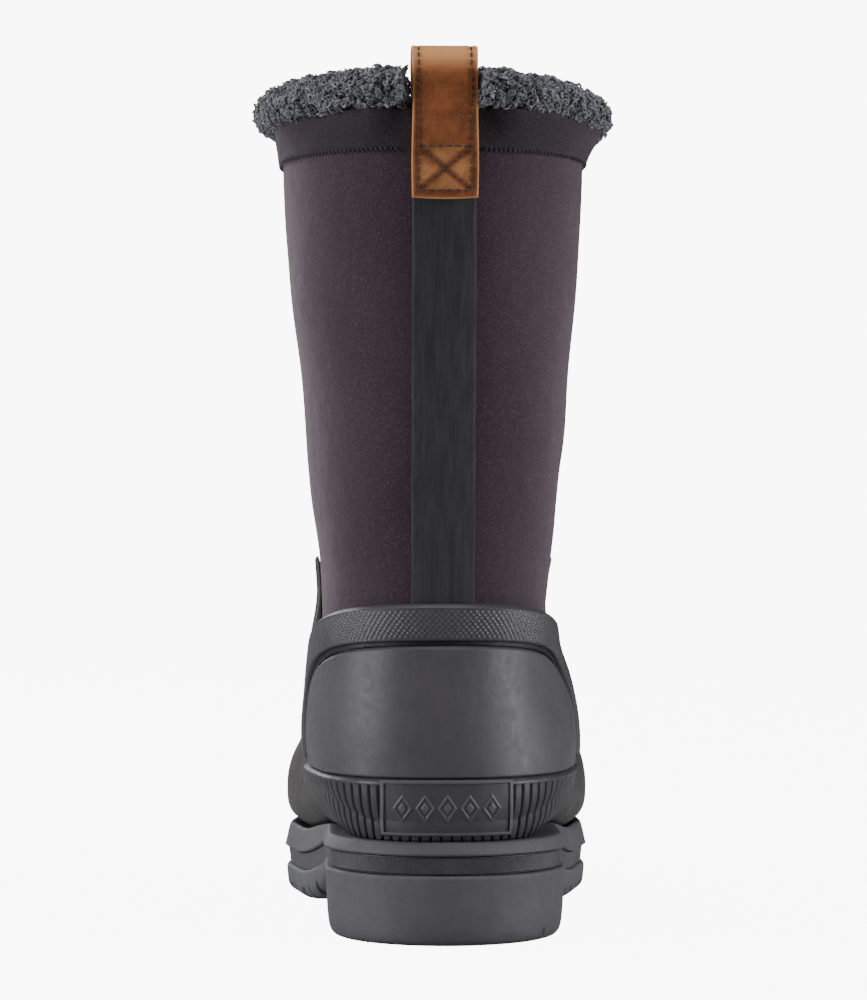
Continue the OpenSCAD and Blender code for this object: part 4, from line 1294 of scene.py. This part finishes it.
def welt():
    """The pale band: it slopes out to a soft edge and stands up round the forefoot as a lip."""
    t = np.linspace(0, np.pi, 420)

    def lip(y):
        return 4.2 * ease((y - 66) / 60) * (1 - 0.35 * ease((y - 215) / 40))

    outline = [(0.9, -4.35), (0.2, -4.34), (-0.3, -4.2), (-0.55, -3.9), (-0.55, -3.5), (-0.35, -3.0),
               (0.0, -2.3), (0.4, -1.5), (0.8, -0.8), (1.05, -0.4), (1.4, -0.1), (1.9, 0.0)]
    profile = [(inset, lambda y, dz=dz: welt_top(y) + dz + lip(y) * clamp(1 + dz / 3.3))
               for inset, dz in outline]
    profile.append((3.0, lambda y: welt_top(y) + lip(y) * 0.96))
    profile.append((4.6, lambda y: welt_top(y) + lip(y) * 0.55))
    profile.append((8.0, lambda y: welt_top(y) - 0.2))
    sole_piece("welt_band", sole_tube(t, profile), WELT_RUBBER, "welt", "welt_rubber")


def cut_lines(x, y, lines, width):
    """Depth share of straight grooves, each given by its middle, its angle in degrees and its length."""
    deep = np.zeros(x.shape)
    for cx, cy, angle, length in lines:
        c, s = math.cos(math.radians(angle)), math.sin(math.radians(angle))
        along, off = (x - cx) * c + (y - cy) * s, -(x - cx) * s + (y - cy) * c
        inside = ease((width / 2 + 0.35 - np.abs(off)) / 0.7) * ease((length / 2 + 0.3 - np.abs(along)) / 0.6)
        deep = np.maximum(deep, inside)
    return deep


def station_at(y):
    """The station t of a y on the sole's own outline."""
    return math.acos(1 - 2 * y / SOLE_LENGTH)


def heel_block():
    """The heel: a soft foot edge, sides that lean in a little, and five straight grooves underneath."""
    t = np.linspace(0, station_at(HEEL_BREAST), 260)
    outline = [(5.5, 0.0), (4.2, 0.1), (3.1, 0.5), (2.3, 1.2), (1.7, 2.1), (1.3, 3.3), (1.0, 5.0),
               (0.75, 7.5), (0.55, 10.5), (0.4, 14.0), (0.25, 17.5), (0.1, 20.0), (0.0, 21.0), (0.0, 21.5),
               (0.15, 21.95), (0.5, 22.2), (1.0, 22.32)]
    lift = HEEL_HEIGHT - GAP - outline[-1][1]
    profile = [(inset, lambda y, z=z: z + (tread_top(y) - HEEL_HEIGHT) * ease(z / 22) + lift * ease(z / 22))
               for inset, z in outline]
    lines = [(-22, 52, 14, 44), (22, 52, -14, 44), (0, 22, 0, 34), (37, 12, -52, 16), (-37, 14, 52, 16)]

    def under(loop):
        deep = cut_lines(loop[..., 0], loop[..., 1], lines, 3.0) * LUG_DEPTH
        loop[..., 2] = np.where(loop[..., 2] < LUG_DEPTH, np.maximum(loop[..., 2], deep), loop[..., 2])
        return loop

    sole_piece("heel_lift", sole_tube(t, profile, under, 90), HEEL_RUBBER, "heel_block", "heel_rubber")


def forefoot_tread():
    """The tread: rows of chevrons with a round stud between them, and slots along its edge."""
    t = np.linspace(station_at(HEEL_BREAST + 4), np.pi, 420)
    shares = [(5.5, 0.0), (3.6, 0.03), (2.2, 0.1), (1.2, 0.2), (0.6, 0.32), (0.3, 0.5), (0.1, 0.75),
              (0.0, 0.88), (0.1, 0.95), (0.5, 0.99), (1.2, 1.0)]
    profile = [(inset, lambda y, v=v: mix(tread_bottom(y), tread_top(y) - GAP, v)) for inset, v in shares]
    rows, pitch, depth = 6, 25, LUG_DEPTH * 1.05
    chevrons = [(5 + row * 1.5 + side * 34, 118 + row * pitch, side * -16, 58)
                for row in range(rows) for side in (-1, 1)]

    def under(loop):
        x, y, z = loop[..., 0], loop[..., 1], loop[..., 2]
        deep = cut_lines(x, y, chevrons, 3.2)
        for row in range(rows):
            from_stud = np.hypot(x - 6 - row * 1.6, y - 131 - row * pitch)
            deep = np.maximum(deep, ease((4.8 - from_stud) / 0.7) * ease((from_stud - 2.2) / 0.7))
        rim = sole_half(y, 0.0) - np.abs(x - SOLE_CENTRE(y))
        slot = ease((1.5 - np.abs((y / 13.5) % 1 - 0.5) * 13.5) / 0.6) * ease((6.5 - rim) / 0.6)
        deep = np.maximum(deep, slot * ease((y - 118) / 6)) * ease((y - 92) / 12)
        floor_z = tread_bottom(y) + deep * LUG_DEPTH * 1.05
        loop[..., 2] = np.where(z < tread_bottom(y) + depth, np.maximum(z, floor_z), z)
        return loop

    sole_piece("forefoot_lugs", sole_tube(t, profile, under, 120), TREAD_RUBBER, "forefoot_tread",
               "tread_rubber")


def bed_layer(name, h0, h1, margin, dish, material, replaces, slot, fuzz):
    """A layer of the footbed, from h0 to h1 above the lining, with a dished face and a fuzz of a depth."""
    toe_q, heel_q = -0.8, 0.48
    q = np.linspace(toe_q, heel_q, 150)[None]
    across = np.linspace(1, -1, 70)[:, None]
    inside = SOCK - FOOT_PILE - 0.7
    _, back, middle, half_width, centre, _, n = ring(q, inside)
    half = half_width * (1 - np.maximum(0, 1 - h0 / back) ** n) ** (1 / n) - margin
    tilt = np.radians(ring_turn(q))
    edge = np.minimum((1 - np.abs(across)) * half, np.minimum(q - toe_q, heel_q - q) * 100)

    def face(height):
        reach = middle + back - height
        return np.stack([centre + half * across, ring_y(q) - reach * np.cos(tilt) + 0 * across,
                         ring_z(q) - reach * np.sin(tilt) + 0 * across], -1)

    low = h0 + dish * across ** 2 + 0 * q
    high = h1 + 1.1 * dish * across ** 2 + 0 * q
    soft = low + (high - low) * (0.3 + 0.7 * rounded(edge, 1.0))
    soft = soft - fuzz * (0.5 + 0.5 * ripple(face(high), 2.6, 11))
    piece(name, slab(face(soft), face(low)), material, "foot", replaces, slot)


def plain_parts():
    """Parts out of sight keep their CAD shape and get their own material."""
    for node, material in (("shank", STEEL), ("insole_board", BOARD), ("heel_stiffener", STIFFENER),
                           ("toe_puff", STIFFENER)):
        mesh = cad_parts[node].data
        mesh.materials.clear()
        mesh.materials.append(material)


# ---- Studio ----

def studio_paper():
    """White to the camera and dimmer to everything else, so that it adds little light of its own."""
    g = Shader("studio_paper", "object")
    seen = g.node("ShaderNodeLightPath").outputs["Is Camera Ray"]
    tone = g.between(seen, (FILL, FILL, FILL), (0.45, 0.45, 0.45))
    return g.done(Base_Color=tone, Roughness=0.95, Specular_IOR_Level=0.0, Emission_Color=(1, 1, 1),
                  Emission_Strength=g.spread(seen, 0, 1, 0.0, BACKDROP))


def studio_bowl():
    """A pale floor that curves up into a round wall."""
    radius, rise, bend = 5.0, 4.5, 2.0
    profile = [(0.02, 0.0), (1.0, 0.0), (2.0, 0.0)]
    profile += [(radius - bend + bend * math.sin(t), bend - bend * math.cos(t))
                for t in np.linspace(0, np.pi / 2, 14)]
    profile += [(radius, bend + rise)]
    turn = np.linspace(0, 2 * np.pi, 96, endpoint=False)
    points = np.array([[[r * math.cos(t), r * math.sin(t), z] for r, z in profile] for t in turn])
    mesh = bpy.data.meshes.new("studio_bowl")
    mesh.from_pydata(points.reshape(-1, 3).tolist(), [], grid_faces(len(turn), len(profile), True).tolist())
    mesh.shade_smooth()
    paper = studio_paper()
    mesh.materials.append(paper)
    disc = bpy.data.meshes.new("studio_floor")
    ring_points = [(0.03 * math.cos(t), 0.03 * math.sin(t), -0.0001) for t in turn]
    disc.from_pydata(ring_points, [], [list(range(len(turn)))])
    disc.materials.append(paper)
    linked("studio_bowl", mesh)
    linked("studio_floor", disc)


def softbox(name, place, size, watts):
    """A rectangular lamp aimed at the middle of the boot, out of the camera's sight."""
    light = bpy.data.lights.new(name, "AREA")
    light.shape = "RECTANGLE"
    light.size, light.size_y = size
    light.energy = watts
    lamp = linked(name, light)
    lamp.location = place
    lamp.rotation_mode = "QUATERNION"
    direction = np.array((0.0, 0.03, 0.14)) - np.array(place)
    lamp.rotation_quaternion = mathutils.Vector(direction).to_track_quat("-Z", "Y")
    lamp.visible_camera = False


def lighting():
    world = bpy.data.worlds.new("studio_air")
    world.use_nodes = True
    background = world.node_tree.nodes["Background"]
    background.inputs[0].default_value = (1, 1, 1, 1)
    background.inputs[1].default_value = AIR
    bpy.context.scene.world = world
    softbox("left_box", (-1.5, -0.42, 0.35), (0.8, 1.4), SIDE_WATTS)
    softbox("right_box", (1.5, -0.42, 0.35), (0.8, 1.4), SIDE_WATTS)
    softbox("front_box", (-0.9, 1.5, 0.9), (1.0, 1.0), SIDE_WATTS * 0.5)
    softbox("top_box", (0.0, -0.35, 1.9), (1.2, 0.8), TOP_WATTS)


def camera():
    """Level, a little to the outer side of straight behind."""
    data = bpy.data.cameras.new("camera")
    data.lens, data.sensor_width = LENS, 36
    eye = linked("camera", data)
    eye.location = (EYE[0], EYE[1] - HEEL_CENTRE * 0.001, EYE[2])
    eye.rotation_euler = (math.radians(90), 0, -math.radians(EYE_TURN))
    bpy.context.scene.camera = eye


# ---- Build ----

neoprene_sock()
pile_lining()
back_strip()
cuff()
cuff_sewing()
fleece()
pull_tab()
tab_sewing()
foot_shell()
toe_bumper()
instep_overlay()
overlay_sewing()
collar()
groove_gasket()
heel_counter()
foxing()
label()
textured_rand()
welt()
heel_block()
forefoot_tread()
bed_layer("bed_foam", 2.0, 5.0, 1.2, 0.8, FOAM, ("footbed",), "foam", 0.0)
bed_layer("bed_felt", 5.3, 6.9, 4.0, 0.8, FELT, ("footbed_cover",), "bed_cover", 0.35)
plain_parts()
studio_bowl()
lighting()
camera()
